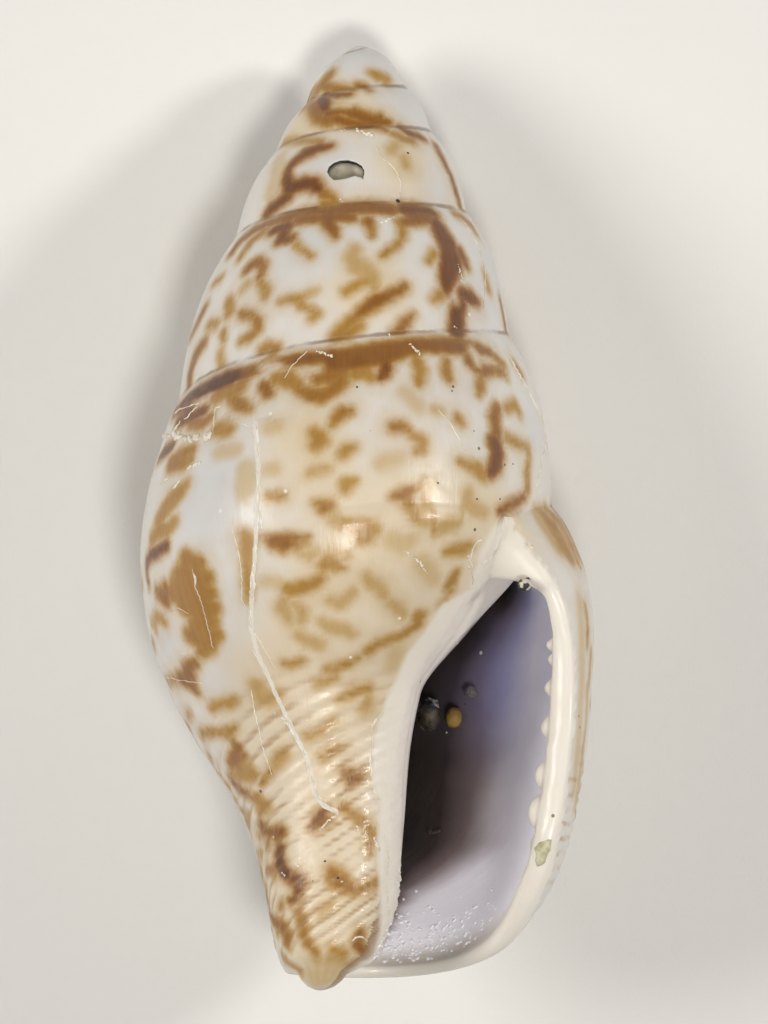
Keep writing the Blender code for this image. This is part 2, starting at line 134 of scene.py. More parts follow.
@dataclass
class ShellForm:
    """Sizes of the coil in millimetres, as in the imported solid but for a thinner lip."""

    length: float = 14.0
    wall: float = 0.36
    lip_wall_full: float = 0.40
    lip_wall_suture: float = 0.12
    lip_wall_growth: tuple = (0.03, 0.30)    # shares of the lip over which it thickens
    notch_wall: float = 0.20
    notch_growth: tuple = (0.52, 0.75)       # shares of the lip over which it thins again
    callus: float = 0.05
    lean: float = 0.44
    lean_start: float = 8.5
    lean_power: float = 1.5
    spire_bulge: float = 0.075
    dome_bulge: float = 0.13
    bulge_skew: float = 0.85
    inner_lip_start: float = 0.294
    canal_turns: float = 0.45
    level_turn: float = -0.40
    canal_foot: float = 0.80
    cavity_foot: float = 0.60
    pitch: float = math.radians(14.0)
    flat_depth: float = 0.20     # what the resting spot has lost
    slope_step: float = 0.004    # reach over which the outline's slope is taken
    suture_points: tuple = (
        (-4.893, 0.00, 0.00), (-4.5, 0.35, 0.21), (-4.0, 0.66, 0.62), (-3.5, 0.82, 0.93),
        (-3.0, 1.02, 1.29), (-2.5, 1.26, 1.67), (-2.0, 1.55, 2.49), (-1.5, 1.82, 2.96),
        (-1.0, 2.18, 4.28), (-0.5, 2.61, 5.41), (0.0, 2.84, 6.82), (0.107, 2.78, 7.31),
    )
    reaches: tuple = (
        0.0, 0.03, 0.08, 0.15, 0.25, 0.35, 0.45, 0.55, 0.65, 0.75, 0.85, 0.92, 0.97, 1.0,
    )
    whorl_turns: tuple = (-2.0, -1.5, -1.0, -0.5, 0.0, 0.107)
    whorl_radii: tuple = (
        (1.55, 1.74, 1.86, 1.74, 1.13, 0.65, 0.52, 0.49, 0.49, 0.49, 0.49, 0.46, 0.38, 0.0),
        (1.82, 1.99, 2.13, 2.18, 1.90, 1.21, 0.74, 0.58, 0.54, 0.52, 0.52, 0.49, 0.44, 0.0),
        (2.18, 2.35, 2.57, 2.78, 2.85, 2.40, 1.60, 0.94, 0.86, 0.90, 0.96, 0.84, 0.58, 0.0),
        (2.61, 2.74, 2.87, 3.03, 3.13, 3.04, 2.74, 2.21, 1.56, 1.14, 0.88, 0.69, 0.46, 0.0),
        (2.84, 3.01, 3.19, 3.37, 3.47, 3.48, 3.48, 3.44, 3.38, 3.24, 2.90, 2.48, 1.74, 0.0),
        (2.78, 2.90, 3.08, 3.25, 3.37, 3.43, 3.44, 3.41, 3.35, 3.21, 2.87, 2.45, 1.71, 0.0),
    )
    lip: tuple = (
        (0.0, 0.107, 0.0), (0.06, 0.100, 0.06), (0.15, 0.075, 0.18), (0.26, 0.058, 0.36),
        (0.36, 0.052, 0.52), (0.46, 0.045, 0.68), (0.56, 0.020, 0.82), (0.64, -0.03, 0.90),
        (0.75, -0.12, 0.93), (0.88, -0.24, 0.94), (1.0, -0.36, 0.955),
    )
    inner_lip: tuple = (
        (0.0, -0.893, 0.294), (0.07, -0.897, 0.36), (0.3, -0.93, 0.50), (0.6, -0.97, 0.72),
        (0.85, -1.10, 0.90), (1.0, -1.36, 0.955),
    )
    tip_round: tuple = ((0.36, 13.74), (0.30, 13.84), (0.20, 13.93), (0.09, 13.98))

    def table(self, points: tuple, column: int, x: np.ndarray) -> np.ndarray:
        """Read one column of a table of points."""
        return monotone([p[0] for p in points], [p[column] for p in points], x)

    def suture(self, turn: np.ndarray) -> tuple[np.ndarray, np.ndarray]:
        """Radius and drop of the suture."""
        return self.table(self.suture_points, 1, turn), self.table(self.suture_points, 2, turn)

    def whorl(self, turn: np.ndarray, reach: np.ndarray) -> tuple[np.ndarray, np.ndarray]:
        """Radius and drop of the whole outline of a whorl."""
        rows = np.vstack([monotone(self.reaches, radii, reach) for radii in self.whorl_radii])
        drop = mix(self.suture(turn)[1], self.length, reach)
        return monotone(self.whorl_turns, rows, turn), drop

    def band(self, turn: np.ndarray, share: np.ndarray) -> tuple[np.ndarray, np.ndarray]:
        """Radius and drop on a spire whorl, share 0 at its upper suture and 1 at its lower one."""
        first = self.suture_points[0][0]
        r0, d0 = self.suture(turn)
        r1, d1 = self.suture(turn + 1.0)
        height = mix(self.dome_bulge, self.spire_bulge, ramp(turn, first, first + 1.0))
        swell = height * np.sin(math.pi * share ** self.bulge_skew)
        return mix(r0, r1, share) + (d1 - d0) * swell, mix(d0, d1, share) - (r1 - r0) * swell

    def inset(self, turn: np.ndarray, reach: np.ndarray,
              depth: Number) -> tuple[np.ndarray, np.ndarray]:
        """Radius and drop at a depth under the whorl's outline, square to it."""
        r0, d0 = self.whorl(turn, np.maximum(0.0, reach - self.slope_step))
        r1, d1 = self.whorl(turn, np.minimum(1.0, reach + self.slope_step))
        size = np.hypot(r1 - r0, d1 - d0)
        r, d = self.whorl(turn, reach)
        return r - depth * (d1 - d0) / size, d + depth * (r1 - r0) / size

    def place(self, turn: Number, radius: Number, drop: Number) -> np.ndarray:
        """Points of the coil in the shell's own frame, one row each."""
        angle = 2.0 * math.pi * turn
        below = np.maximum(0.0, (drop - self.lean_start) / (self.length - self.lean_start))
        x = radius * np.cos(angle) - self.lean * below ** self.lean_power
        return np.stack([x, -drop + 0.0 * x, radius * np.sin(angle)], axis=-1)

    def lip_at(self, share: np.ndarray) -> tuple[np.ndarray, np.ndarray]:
        """Turn and reach on the outer lip's edge."""
        return self.table(self.lip, 1, share), self.table(self.lip, 2, share)

    def inner_lip_at(self, share: np.ndarray) -> tuple[np.ndarray, np.ndarray]:
        """Turn and reach on the inner lip's line."""
        return self.table(self.inner_lip, 1, share), self.table(self.inner_lip, 2, share)

    def lip_wall(self, share: np.ndarray) -> np.ndarray:
        """Thickness of the lip along its length: thin at the suture, thin again at the notch."""
        full = mix(self.lip_wall_suture, self.lip_wall_full, ramp(share, *self.lip_wall_growth))
        return mix(full, self.notch_wall, ramp(share, *self.notch_growth))

    def reach_at(self, turn: np.ndarray, drop: np.ndarray) -> np.ndarray:
        """Reach of a drop on the whorl's outline."""
        top = self.suture(turn)[1]
        return np.clip((drop - top) / (self.length - top), 0.0, 1.0)


@dataclass
class Teeth:
    """Blunt teeth along the inside of the outer lip."""

    bumps: tuple = (             # height in the picture (points), half length and rise (mm)
        (644, 0.085, 0.19), (660, 0.09, 0.16), (687, 0.11, 0.18), (711, 0.08, 0.10),
        (728, 0.14, 0.20), (775, 0.16, 0.21), (813, 0.19, 0.22), (846, 0.15, 0.09),
    )
    depth: float = 0.010         # how far behind the lip's edge they stand, in turns
    width: float = 0.24          # half size into the lip, millimetres
    stretch: float = 1.55        # how much longer each is before its fillet
    fillet_end: float = 0.12     # how far into the lip's face the fillet runs
    thickness: float = 0.20      # half size down into the mouth
    blend: float = 0.42          # reach of the fillet round each
    rounds: int = 9
    round_steps: tuple = (24, 14)

    def add(self, bm: bmesh.types.BMesh, foot: Vector, length: float, rise: float) -> None:
        """Add one tooth.

        Args:
            bm: Mesh that takes it.
            foot: Place on the lining, metres.
            length: Half length along the lip, millimetres.
            rise: How far it stands into the mouth, millimetres.
        """
        centre = foot + Vector(((self.width - rise) * MM, 0.0, 0.0))
        size = Vector((self.width, length * self.stretch, self.thickness)) * MM
        size = Matrix.Diagonal(size).to_4x4()
        bmesh.ops.create_uvsphere(
            bm, u_segments=self.round_steps[0], v_segments=self.round_steps[1], radius=1.0,
            matrix=Matrix.Translation(centre) @ size)


@dataclass
class BaseCords:
    """Raised cords that wind round the base, millimetres."""

    spacing: float = 0.215
    rise: float = 4.0            # fall of a cord along one turn
    height: float = 0.022
    start: float = 9.3           # drop where they begin to show
    full: float = 10.3
    end: float = 13.5
    end_fade: tuple = (0.3, 0.2)
    late: float = 0.9            # how much further down they begin past the scar
    late_turns: tuple = (-0.72, -0.45)
    wobble: tuple = (0.9, 5.1, 1.3)      # size of the slow wave, and its rate in turns and drop
    flutter: tuple = (0.5, 2.7)          # size of the second wave, and its rate in drop

    def wave(self, turn: np.ndarray, drop: np.ndarray) -> np.ndarray:
        """1 on a cord's crest and -1 in a groove, faded off the base."""
        phase = 2.0 * math.pi * (drop - self.rise * turn) / self.spacing
        size, by_turn, by_drop = self.wobble
        wobble = (size * np.sin(by_turn * turn * math.pi + by_drop * drop)
                  + self.flutter[0] * np.sin(self.flutter[1] * drop))
        start = self.start + self.late * ramp(turn, *self.late_turns)
        shown = ramp(drop, start, start + self.full - self.start)
        shown = shown * (1.0 - ramp(
            drop, self.end - self.end_fade[0], self.end + self.end_fade[1]))
        return np.cos(phase + wobble) * shown


class Region(Enum):
    """Which skin of the shell a vertex lies on."""

    SPIRE = 0
    BODY = 1
    LIP = 2
    LINING = 3
    WALL = 4


@dataclass
class Skin:
    """Points of one part of the skin, with what the finish needs to know about them."""

    points: np.ndarray           # (columns, rows, 3), millimetres, shell frame
    growth: np.ndarray           # turn
    fall: np.ndarray             # drop
    inner: np.ndarray            # 0 outside, 1 deep in the cavity
    region: Region


class ShellSkin:
    """Fine skin of the whole shell: outside, rounded lip and cavity, as one closed mesh."""

    columns: int = 200
    spire_rows: int = 42
    lip_rows: int = 140
    lip_arc: int = 9
    crowding: float = 0.45       # how much closer the columns stand on the side facing up
    facing_up: float = 0.143     # part of a turn after the inner lip that faces up
    apex_cap: float = 0.05       # millimetres round the apex that one face closes
    pad_end: tuple = (0.06, 0.125)       # shares of the lip where its corner pad ends
    pad_skin: float = 0.006      # millimetres that the pad's edge lies over the wall
    pad_swell: float = 0.11      # millimetres that the pad stands up
    pad_depth: tuple = (0.02, 0.07)      # depths in turns over which the pad runs out
    reach_turn: tuple = (0.35, 1.0)      # parts of the way round where the rows reach the lip's
    band_hold: tuple = (0.0, 0.25)       # parts of the way round where the spire's form runs out
    cord_ends: tuple = ((0.01, 0.05), (0.93, 1))
    whole_turns: int = 5         # turns of the spire's grid
    corner_drop: tuple = (0.06, 0.07)    # reach that the mouth's corner hangs down, lip and deep
    corner_share: float = 0.3
    wall_growth: tuple = (0.0, 0.09)     # depths over which the lip's wall turns to the shell's
    least_gap: float = 0.08      # narrowest that the cavity gets
    line_steps: int = 80
    glaze_growth: tuple = (0.0, 0.05)
    deep_round: float = 0.10     # how much the cavity's corners are rounded
    deep_corners: tuple = (      # place past a suture, out and down, in parts of its radius
        (0.87, 0.14), (0.86, -0.02), (0.32, 0.52), (0.30, 0.80),
    )
    lip_depth: float = 0.045     # depth of the finely divided lining
    lip_rings: int = 14
    ring_count: int = 27
    ring_power: float = 1.3
    deep_rings: int = 32
    deep_ring_turns: int = 14    # rings to a turn, deep in the spire
    crown_height: float = 0.35   # share of the lip's wall that its crown stands up
    crown_ends: tuple = ((0.0, 0.05), (0.0, 0.03))
    weld: float = 0.0004
    least_edge: float = 0.00005

    def __init__(self, form: ShellForm, cords: BaseCords) -> None:
        """Keep the form and the relief that the skin takes."""
        self.form = form
        self.cords = cords

    def along(self, column: np.ndarray) -> np.ndarray:
        """Part of a turn after the inner lip for a column, crowded where the shell faces up."""
        t = np.asarray(column, float) / self.columns
        shift = 0.5 - self.facing_up
        wave = np.sin(2 * math.pi * (t + shift)) - math.sin(2 * math.pi * shift)
        return t + self.crowding * wave / (2 * math.pi)

    def body(self) -> Skin:
        """Outside of the last whorl, from the inner lip to the outer lip, with the round tip."""
        form = self.form
        column, row = np.meshgrid(
            np.arange(self.columns + 1), np.arange(self.lip_rows + 1), indexing="ij")
        column, row = column.ravel(), row.ravel()
        across = self.along(column)
        share = row / self.lip_rows
        lip_turn, lip_reach = form.lip_at(share)
        low_turn, low_reach = form.inner_lip_at(
            (row - self.spire_rows) / (self.lip_rows - self.spire_rows))
        upper = row <= self.spire_rows
        start_turn = np.where(upper, form.inner_lip[0][1], low_turn)
        start_reach = np.where(upper, form.inner_lip_start * row / self.spire_rows, low_reach)
        turn = mix(start_turn, lip_turn, across)
        reach = mix(start_reach, lip_reach, ramp(across, *self.reach_turn))
        radius, drop = form.whorl(turn, reach)
        band_radius, band_drop = form.band(turn, np.minimum(1.0, row / self.spire_rows))
        held = np.where(upper, ramp(across, *self.band_hold), 1.0)
        radius, drop = mix(band_radius, radius, held), mix(band_drop, drop, held)
        start, end = self.cord_ends
        wave = self.cords.wave(turn, drop) * ramp(across, *start) * (1 - ramp(across, *end))
        radius = radius + self.cords.height * wave
        points = form.place(turn, radius, drop)
        shape = (self.columns + 1, self.lip_rows + 1)
        tips = [
            form.place(mix(form.inner_lip[-1][1], form.lip[-1][1], self.along(
                np.arange(self.columns + 1))), radius, np.full(self.columns + 1, drop))
            for radius, drop in form.tip_round + ((0.0, form.length),)
        ]
        points = np.concatenate([points.reshape(*shape, 3), np.stack(tips, axis=1)], axis=1)
        extra = len(tips)
        growth = np.pad(turn.reshape(shape), ((0, 0), (0, extra)), mode="edge")
        fall = np.pad(drop.reshape(shape), ((0, 0), (0, extra)), mode="edge")
        return Skin(points, growth, fall, np.zeros_like(growth), Region.BODY)

    def spire(self) -> Skin:
        """Whorls above the last one, out from the apex."""
        form = self.form
        column, row = np.meshgrid(
            np.arange(-self.whole_turns * self.columns, 1), np.arange(self.spire_rows + 1),
            indexing="ij")
        turn = form.inner_lip[0][1] + self.along(column.ravel())
        share = row.ravel() / self.spire_rows
        radius, drop = form.band(turn, share)
        apex = (turn <= form.suture_points[0][0]) & (row.ravel() == 0)
        radius, drop = np.where(apex, 0.0, radius), np.where(apex, 0.0, drop)
        first = column.ravel() == -self.whole_turns * self.columns
        radius, drop = np.where(first, 0.0, radius), np.where(first, 0.0, drop)
        shape = column.shape
        points = form.place(turn, radius, drop).reshape(*shape, 3)
        turn, drop = turn.reshape(shape), drop.reshape(shape)
        return Skin(points, turn, drop, np.zeros_like(turn), Region.SPIRE)

    def mouth_ring(self, depth: float) -> np.ndarray:
        """Loop of the cavity a part of a turn inside the lip: outer side down, inner side up."""
        form = self.form
        settle = min(1.0, depth / form.canal_turns)
        level_turn = form.level_turn - max(0.0, depth - form.canal_turns)
        deep = float(ramp(depth, form.canal_turns, 1.0))
        foot = mix(form.canal_foot, form.cavity_foot, deep)
        share = np.arange(self.lip_rows + 1) / self.lip_rows
        lip_turn, lip_reach = form.lip_at(share)
        corner = mix(*self.corner_drop, settle) * np.maximum(0.0, 1.0 - share / self.corner_share)
        turn = mix(lip_turn, level_turn, settle)
        reach = mix(lip_reach, foot * share, settle) + corner
        wall = mix(form.lip_wall(share), form.wall, float(ramp(depth, *self.wall_growth)))
        radius, drop = form.inset(turn, reach, wall)
        inner = form.whorl(turn - 1.0, form.reach_at(turn - 1.0, drop))[0] + form.callus
        radius = np.maximum(radius, inner + self.least_gap)
        pad = (1.0 - ramp(share, *self.pad_end)) * (1.0 - float(ramp(depth, *self.pad_depth)))
        outer_side = form.place(turn, radius, drop)
        lip_share = np.linspace(0.0, 1.0, self.line_steps)
        line_turn, line_reach = form.inner_lip_at(lip_share)
        line_drop = form.whorl(line_turn, line_reach)[1]
        wall_turn = np.interp(drop, line_drop, line_turn)
        wall_radius = form.whorl(wall_turn, form.reach_at(wall_turn, drop))[0]
        on_wall = form.place(wall_turn, wall_radius + self.pad_skin, drop)
        outer_side = mix(outer_side, on_wall, pad[:, None])
        row = np.arange(self.lip_rows, self.spire_rows, -1)
        share = (row - self.spire_rows) / (self.lip_rows - self.spire_rows)
        start_turn, start_reach = form.inner_lip_at(share)
        turn = mix(start_turn, level_turn - 1.0, settle)
        top = form.reach_at(turn, form.suture(turn + 1.0)[1] + form.wall)
        low = form.reach_at(turn, form.whorl(turn + 1.0, np.full(len(row), foot))[1])
        reach = mix(start_reach, mix(top, low, share), settle)
        glaze = -form.callus * float(ramp(depth, *self.glaze_growth))
        radius, drop = form.inset(turn, reach, glaze)
        return np.vstack([outer_side, form.place(turn, radius, drop)])

    def deep_ring(self, turn: float) -> np.ndarray:
        """Loop of the cavity in the spire, from four corners: outer top round to inner top."""
        form = self.form
        r0, d0 = (float(v[0]) for v in form.suture(np.array([turn])))
        r1, d1 = (float(v[0]) for v in form.suture(np.array([turn + 1.0])))
        sutures = ((r0, d0), (r1, d1), (r1, d1), (r0, d0))
        corners = np.array([
            (out * radius, drop + down * radius)
            for (out, down), (radius, drop) in zip(self.deep_corners, sutures)])
        middle = corners.mean(axis=0)
        outer, inner = self.lip_rows, self.lip_rows - self.spire_rows
        way = np.concatenate([
            2.0 * np.arange(outer + 1) / outer,
            2.0 + 2.0 * np.arange(1, inner + 1) / (inner + 1),
        ])
        side = np.minimum(3, way.astype(int))
        share = (way - side)[:, None]
        round_off = 1.0 - self.deep_round * (1.0 - np.sin(math.pi * share))
        flat = middle + (mix(corners[side], corners[(side + 1) % 4], share) - middle) * round_off
        return form.place(np.full(len(way), turn), flat[:, 0], flat[:, 1])

    def lining(self) -> Skin:
        """Cavity from just inside the lip to deep in the spire."""
        form = self.form
        fine = np.linspace(0.0, self.lip_depth, self.lip_rings)[1:]
        coarse = np.linspace(0.0, 1.0, self.ring_count)[1:] ** self.ring_power
        depths = np.concatenate([fine, self.lip_depth + (1.0 - self.lip_depth) * coarse])
        rings, levels = [self.mouth_ring(0.0)], [0.0]
        for depth in depths:
            deep = float(ramp(depth, form.canal_turns, 1.0))
            far = self.deep_ring(form.level_turn + form.canal_turns - depth)
            rings.append(mix(self.mouth_ring(depth), far, deep))
            levels.append(depth)
        for step in range(1, self.deep_rings + 1):
            depth = 1.0 + step / self.deep_ring_turns
            rings.append(self.deep_ring(form.level_turn + form.canal_turns - depth))
            levels.append(depth)
        rings.append(np.broadcast_to(rings[-1].mean(axis=0), rings[-1].shape))
        levels.append(levels[-1])
        points = np.stack(rings)
        points = np.concatenate([points, points[:, :1]], axis=1)
        inner = np.broadcast_to(np.array(levels)[:, None], points.shape[:2])
        return Skin(points, -inner, -points[..., 1], inner, Region.LINING)

    def lip_crown(self, edge: np.ndarray, lining: np.ndarray) -> Skin:
        """Round crown of the lip from its outer edge to the lining."""
        share = np.arange(self.lip_rows + 1) / self.lip_rows
        after = np.vstack([edge[1:], edge[-1:]])
        before = np.vstack([edge[:1], edge[:-1]])
        outward = np.cross(after - before, edge - lining)
        outward /= np.maximum(1e-9, np.linalg.norm(outward, axis=1))[:, None]
        wall_end, pad_end = self.crown_ends
        height = self.crown_height * self.form.lip_wall(share) * ramp(share, *wall_end)
        pad = (1.0 - ramp(share, *self.pad_end)) * ramp(share, *pad_end)
        height = height + self.pad_swell * pad
        rows = []
        for step in range(self.lip_arc + 1):
            angle = math.pi * step / self.lip_arc
            rows.append(mix(edge, lining, (1.0 - math.cos(angle)) / 2.0)
                        + outward * (height * math.sin(angle))[:, None])
        points = np.stack(rows)
        drop = -points[..., 1]
        return Skin(points, np.zeros_like(drop), drop, np.zeros_like(drop), Region.LIP)

    def build(self) -> tuple[bpy.types.Object, Matrix]:
        """Weld the skins into one closed mesh and lay it on the floor.

        Returns:
            The object, and the matrix that lays the shell's millimetres in the row frame.
        """
        body, spire, lining = self.body(), self.spire(), self.lining()
        edge = body.points[-1, :self.lip_rows + 1]
        crown = self.lip_crown(edge, lining.points[0, :self.lip_rows + 1])
        skins = (spire, body, crown, lining)
        vertices, faces, offset = [], [], 0
        for skin in skins:
            columns, rows = skin.points.shape[:2]
            ids = offset + np.arange(columns * rows).reshape(columns, rows)
            quads = np.stack([ids[:-1, :-1], ids[:-1, 1:], ids[1:, 1:], ids[1:, :-1]], axis=-1)
            faces.append(quads.reshape(-1, 4))
            vertices.append(skin.points.reshape(-1, 3))
            offset += columns * rows
        starts = np.cumsum([0] + [len(v) for v in vertices])
        body_rows = body.points.shape[1]

        def body_id(column: int, row: int) -> int:
            """Vertex of the body grid."""
            return int(starts[1] + column * body_rows + row)

        last = self.lip_rows
        corner = [int(starts[2] + step * (last + 1)) for step in range(self.lip_arc + 1)]
        patches = [[near, far, body_id(0, self.spire_rows + 1)]
                   for near, far in zip(corner, corner[1:])]
        ends = [int(starts[2] + step * (last + 1) + last) for step in range(self.lip_arc + 1)]
        for near, far in zip(ends, ends[1:]):
            patches.append([near, body_id(0, last + 1), far])
        patches.append([ends[-1], body_id(0, last + 1), body_id(0, last)])
        mesh = bpy.data.meshes.new("shell_skin")
        mesh.from_pydata(
            np.vstack(vertices).tolist(), [], np.vstack(faces).tolist() + patches)
        for name, values in (
            ("growth", [s.growth for s in skins]), ("fall", [s.fall for s in skins]),
            ("inner", [s.inner for s in skins]),
            ("region", [self.regions(skin) for skin in skins]),
        ):
            layer = mesh.attributes.new(name, 'FLOAT', 'POINT')
            layer.data.foreach_set("value", np.concatenate([v.ravel() for v in values]))
        bm = bmesh.new()
        bm.from_mesh(mesh)
        bmesh.ops.remove_doubles(bm, verts=bm.verts, dist=self.weld)
        tip = [v for v in bm.verts if v.co.length < self.apex_cap]
        bmesh.ops.delete(bm, geom=tip, context='VERTS')
        open_edges = [e for e in bm.edges if len(e.link_faces) == 1]
        bmesh.ops.holes_fill(bm, edges=open_edges, sides=0)
        bmesh.ops.dissolve_degenerate(bm, dist=self.least_edge, edges=bm.edges)
        bmesh.ops.recalc_face_normals(bm, faces=bm.faces)
        pose = self.resting_pose(bm)
        bmesh.ops.transform(bm, matrix=pose, verts=bm.verts)
        bm.to_mesh(mesh)
        bm.free()
        mesh.shade_smooth()
        made = bpy.data.objects.new("speckled_shell", mesh)
        bpy.context.scene.collection.objects.link(made)
        return made, pose

    def regions(self, skin: Skin) -> np.ndarray:
        """Region of each vertex of a skin; the lining's inner side is the mouth's inner wall."""
        values = np.full(skin.growth.shape, float(skin.region.value))
        if skin.region is Region.LINING:
            values[:, self.lip_rows + 1:-1] = Region.WALL.value
        return values

    def resting_pose(self, bm: bmesh.types.BMesh) -> Matrix:
        """Matrix that lays the shell on its back over the origin, from millimetres to metres."""
        turned = Matrix.Rotation(-self.form.pitch, 4, 'X')
        points = np.array([turned @ v.co for v in bm.verts])
        low, high = points.min(axis=0), points.max(axis=0)
        middle = Vector(((low[0] + high[0]) / 2, (low[1] + high[1]) / 2,
                         low[2] + self.form.flat_depth))
        return Matrix.Scale(MM, 4) @ Matrix.Translation(-middle) @ turned


# The picture plane

@dataclass
class Picture:
    """The camera's picture: how its points lie over the shell, in millimetres."""

    point: float = 0.01452       # size of a picture point
    apex: tuple[float, float] = (362.0, 44.0)
    middle: tuple[float, float] = (384.0, 512.0)
    tall: float = 1024.0
    tilt: float = math.radians(11.5)     # the apex stands away from the camera
    turn: float = math.atan(0.012)
    focus_rise: float = 1.4      # depth of the outline's plane over the apex
    distance: float = 300.0
    sensor: float = 36.0
    clip: tuple = (0.01, 10.0)   # metres

    def axes(self, pitch: float) -> Matrix:
        """Turn from the camera's axes to the row frame."""
        return Matrix.Rotation(self.tilt - pitch, 4, 'X') @ Matrix.Rotation(self.turn, 4, 'Z')

    def add_camera(self, pose: Matrix, pitch: float) -> bpy.types.Object:
        """Camera that looks down on the shell.

        Args:
            pose: Matrix from the shell's millimetres to the row frame.
            pitch: How far the apex points down.

        Returns:
            The camera.
        """
        across = (self.middle[0] - self.apex[0]) * self.point
        down = (self.middle[1] - self.apex[1]) * self.point
        axes = self.axes(pitch)
        local = Vector((across, -down, self.focus_rise + self.distance))
        data = bpy.data.cameras.new("camera")
        data.sensor_fit = 'VERTICAL'
        data.sensor_height = self.sensor
        data.lens = data.sensor_height * self.distance / (self.tall * self.point)
        data.clip_start, data.clip_end = self.clip
        camera = bpy.data.objects.new("camera", data)
        camera.matrix_world = Matrix.Translation(pose @ Vector((0.0, 0.0, 0.0))) @ axes \
            @ Matrix.Translation(local * MM)
        bpy.context.scene.collection.objects.link(camera)
        bpy.context.scene.camera = camera
        return camera


class Surface:
    """The outside of the shell as the camera sees it, for placing marks and crusts."""

    def __init__(self, shell: bpy.types.Object, picture: Picture,
                 camera: bpy.types.Object) -> None:
        """Keep a search tree of the shell and the camera's place."""
        mesh = shell.data
        corners = [v.co.copy() for v in mesh.vertices]
        self.tree = BVHTree.FromPolygons(corners, [tuple(p.vertices) for p in mesh.polygons])
        self.picture = picture
        self.eye = camera.matrix_world.copy()

    def under(self, x: float, y: float) -> tuple[Vector, Vector]:
        """Point and normal of the shell under a point of the picture, or the nearest to it."""
        local = Vector((
            (x - self.picture.middle[0]) * self.picture.point,
            (self.picture.middle[1] - y) * self.picture.point, -self.picture.distance))
        origin = self.eye.translation
        target = self.eye @ (local * MM)
        ray = (target - origin).normalized()
        hit, normal, _, _ = self.tree.ray_cast(origin, ray)
        if hit is None:
            hit, normal, _, _ = self.tree.find_nearest(target)
        return hit, normal

    def nearest(self, place: Vector) -> Vector:
        """Place on the shell nearest to a point."""
        return self.tree.find_nearest(place)[0]


# Marks

class Tone(Enum):
    """How strongly a mark is coloured."""

    FAINT = 0.05
    PALE = 0.2
    OCHRE = 0.38
    TAN = 0.5
    BROWN = 0.66
    DARK = 0.82
    DEEP = 1.0


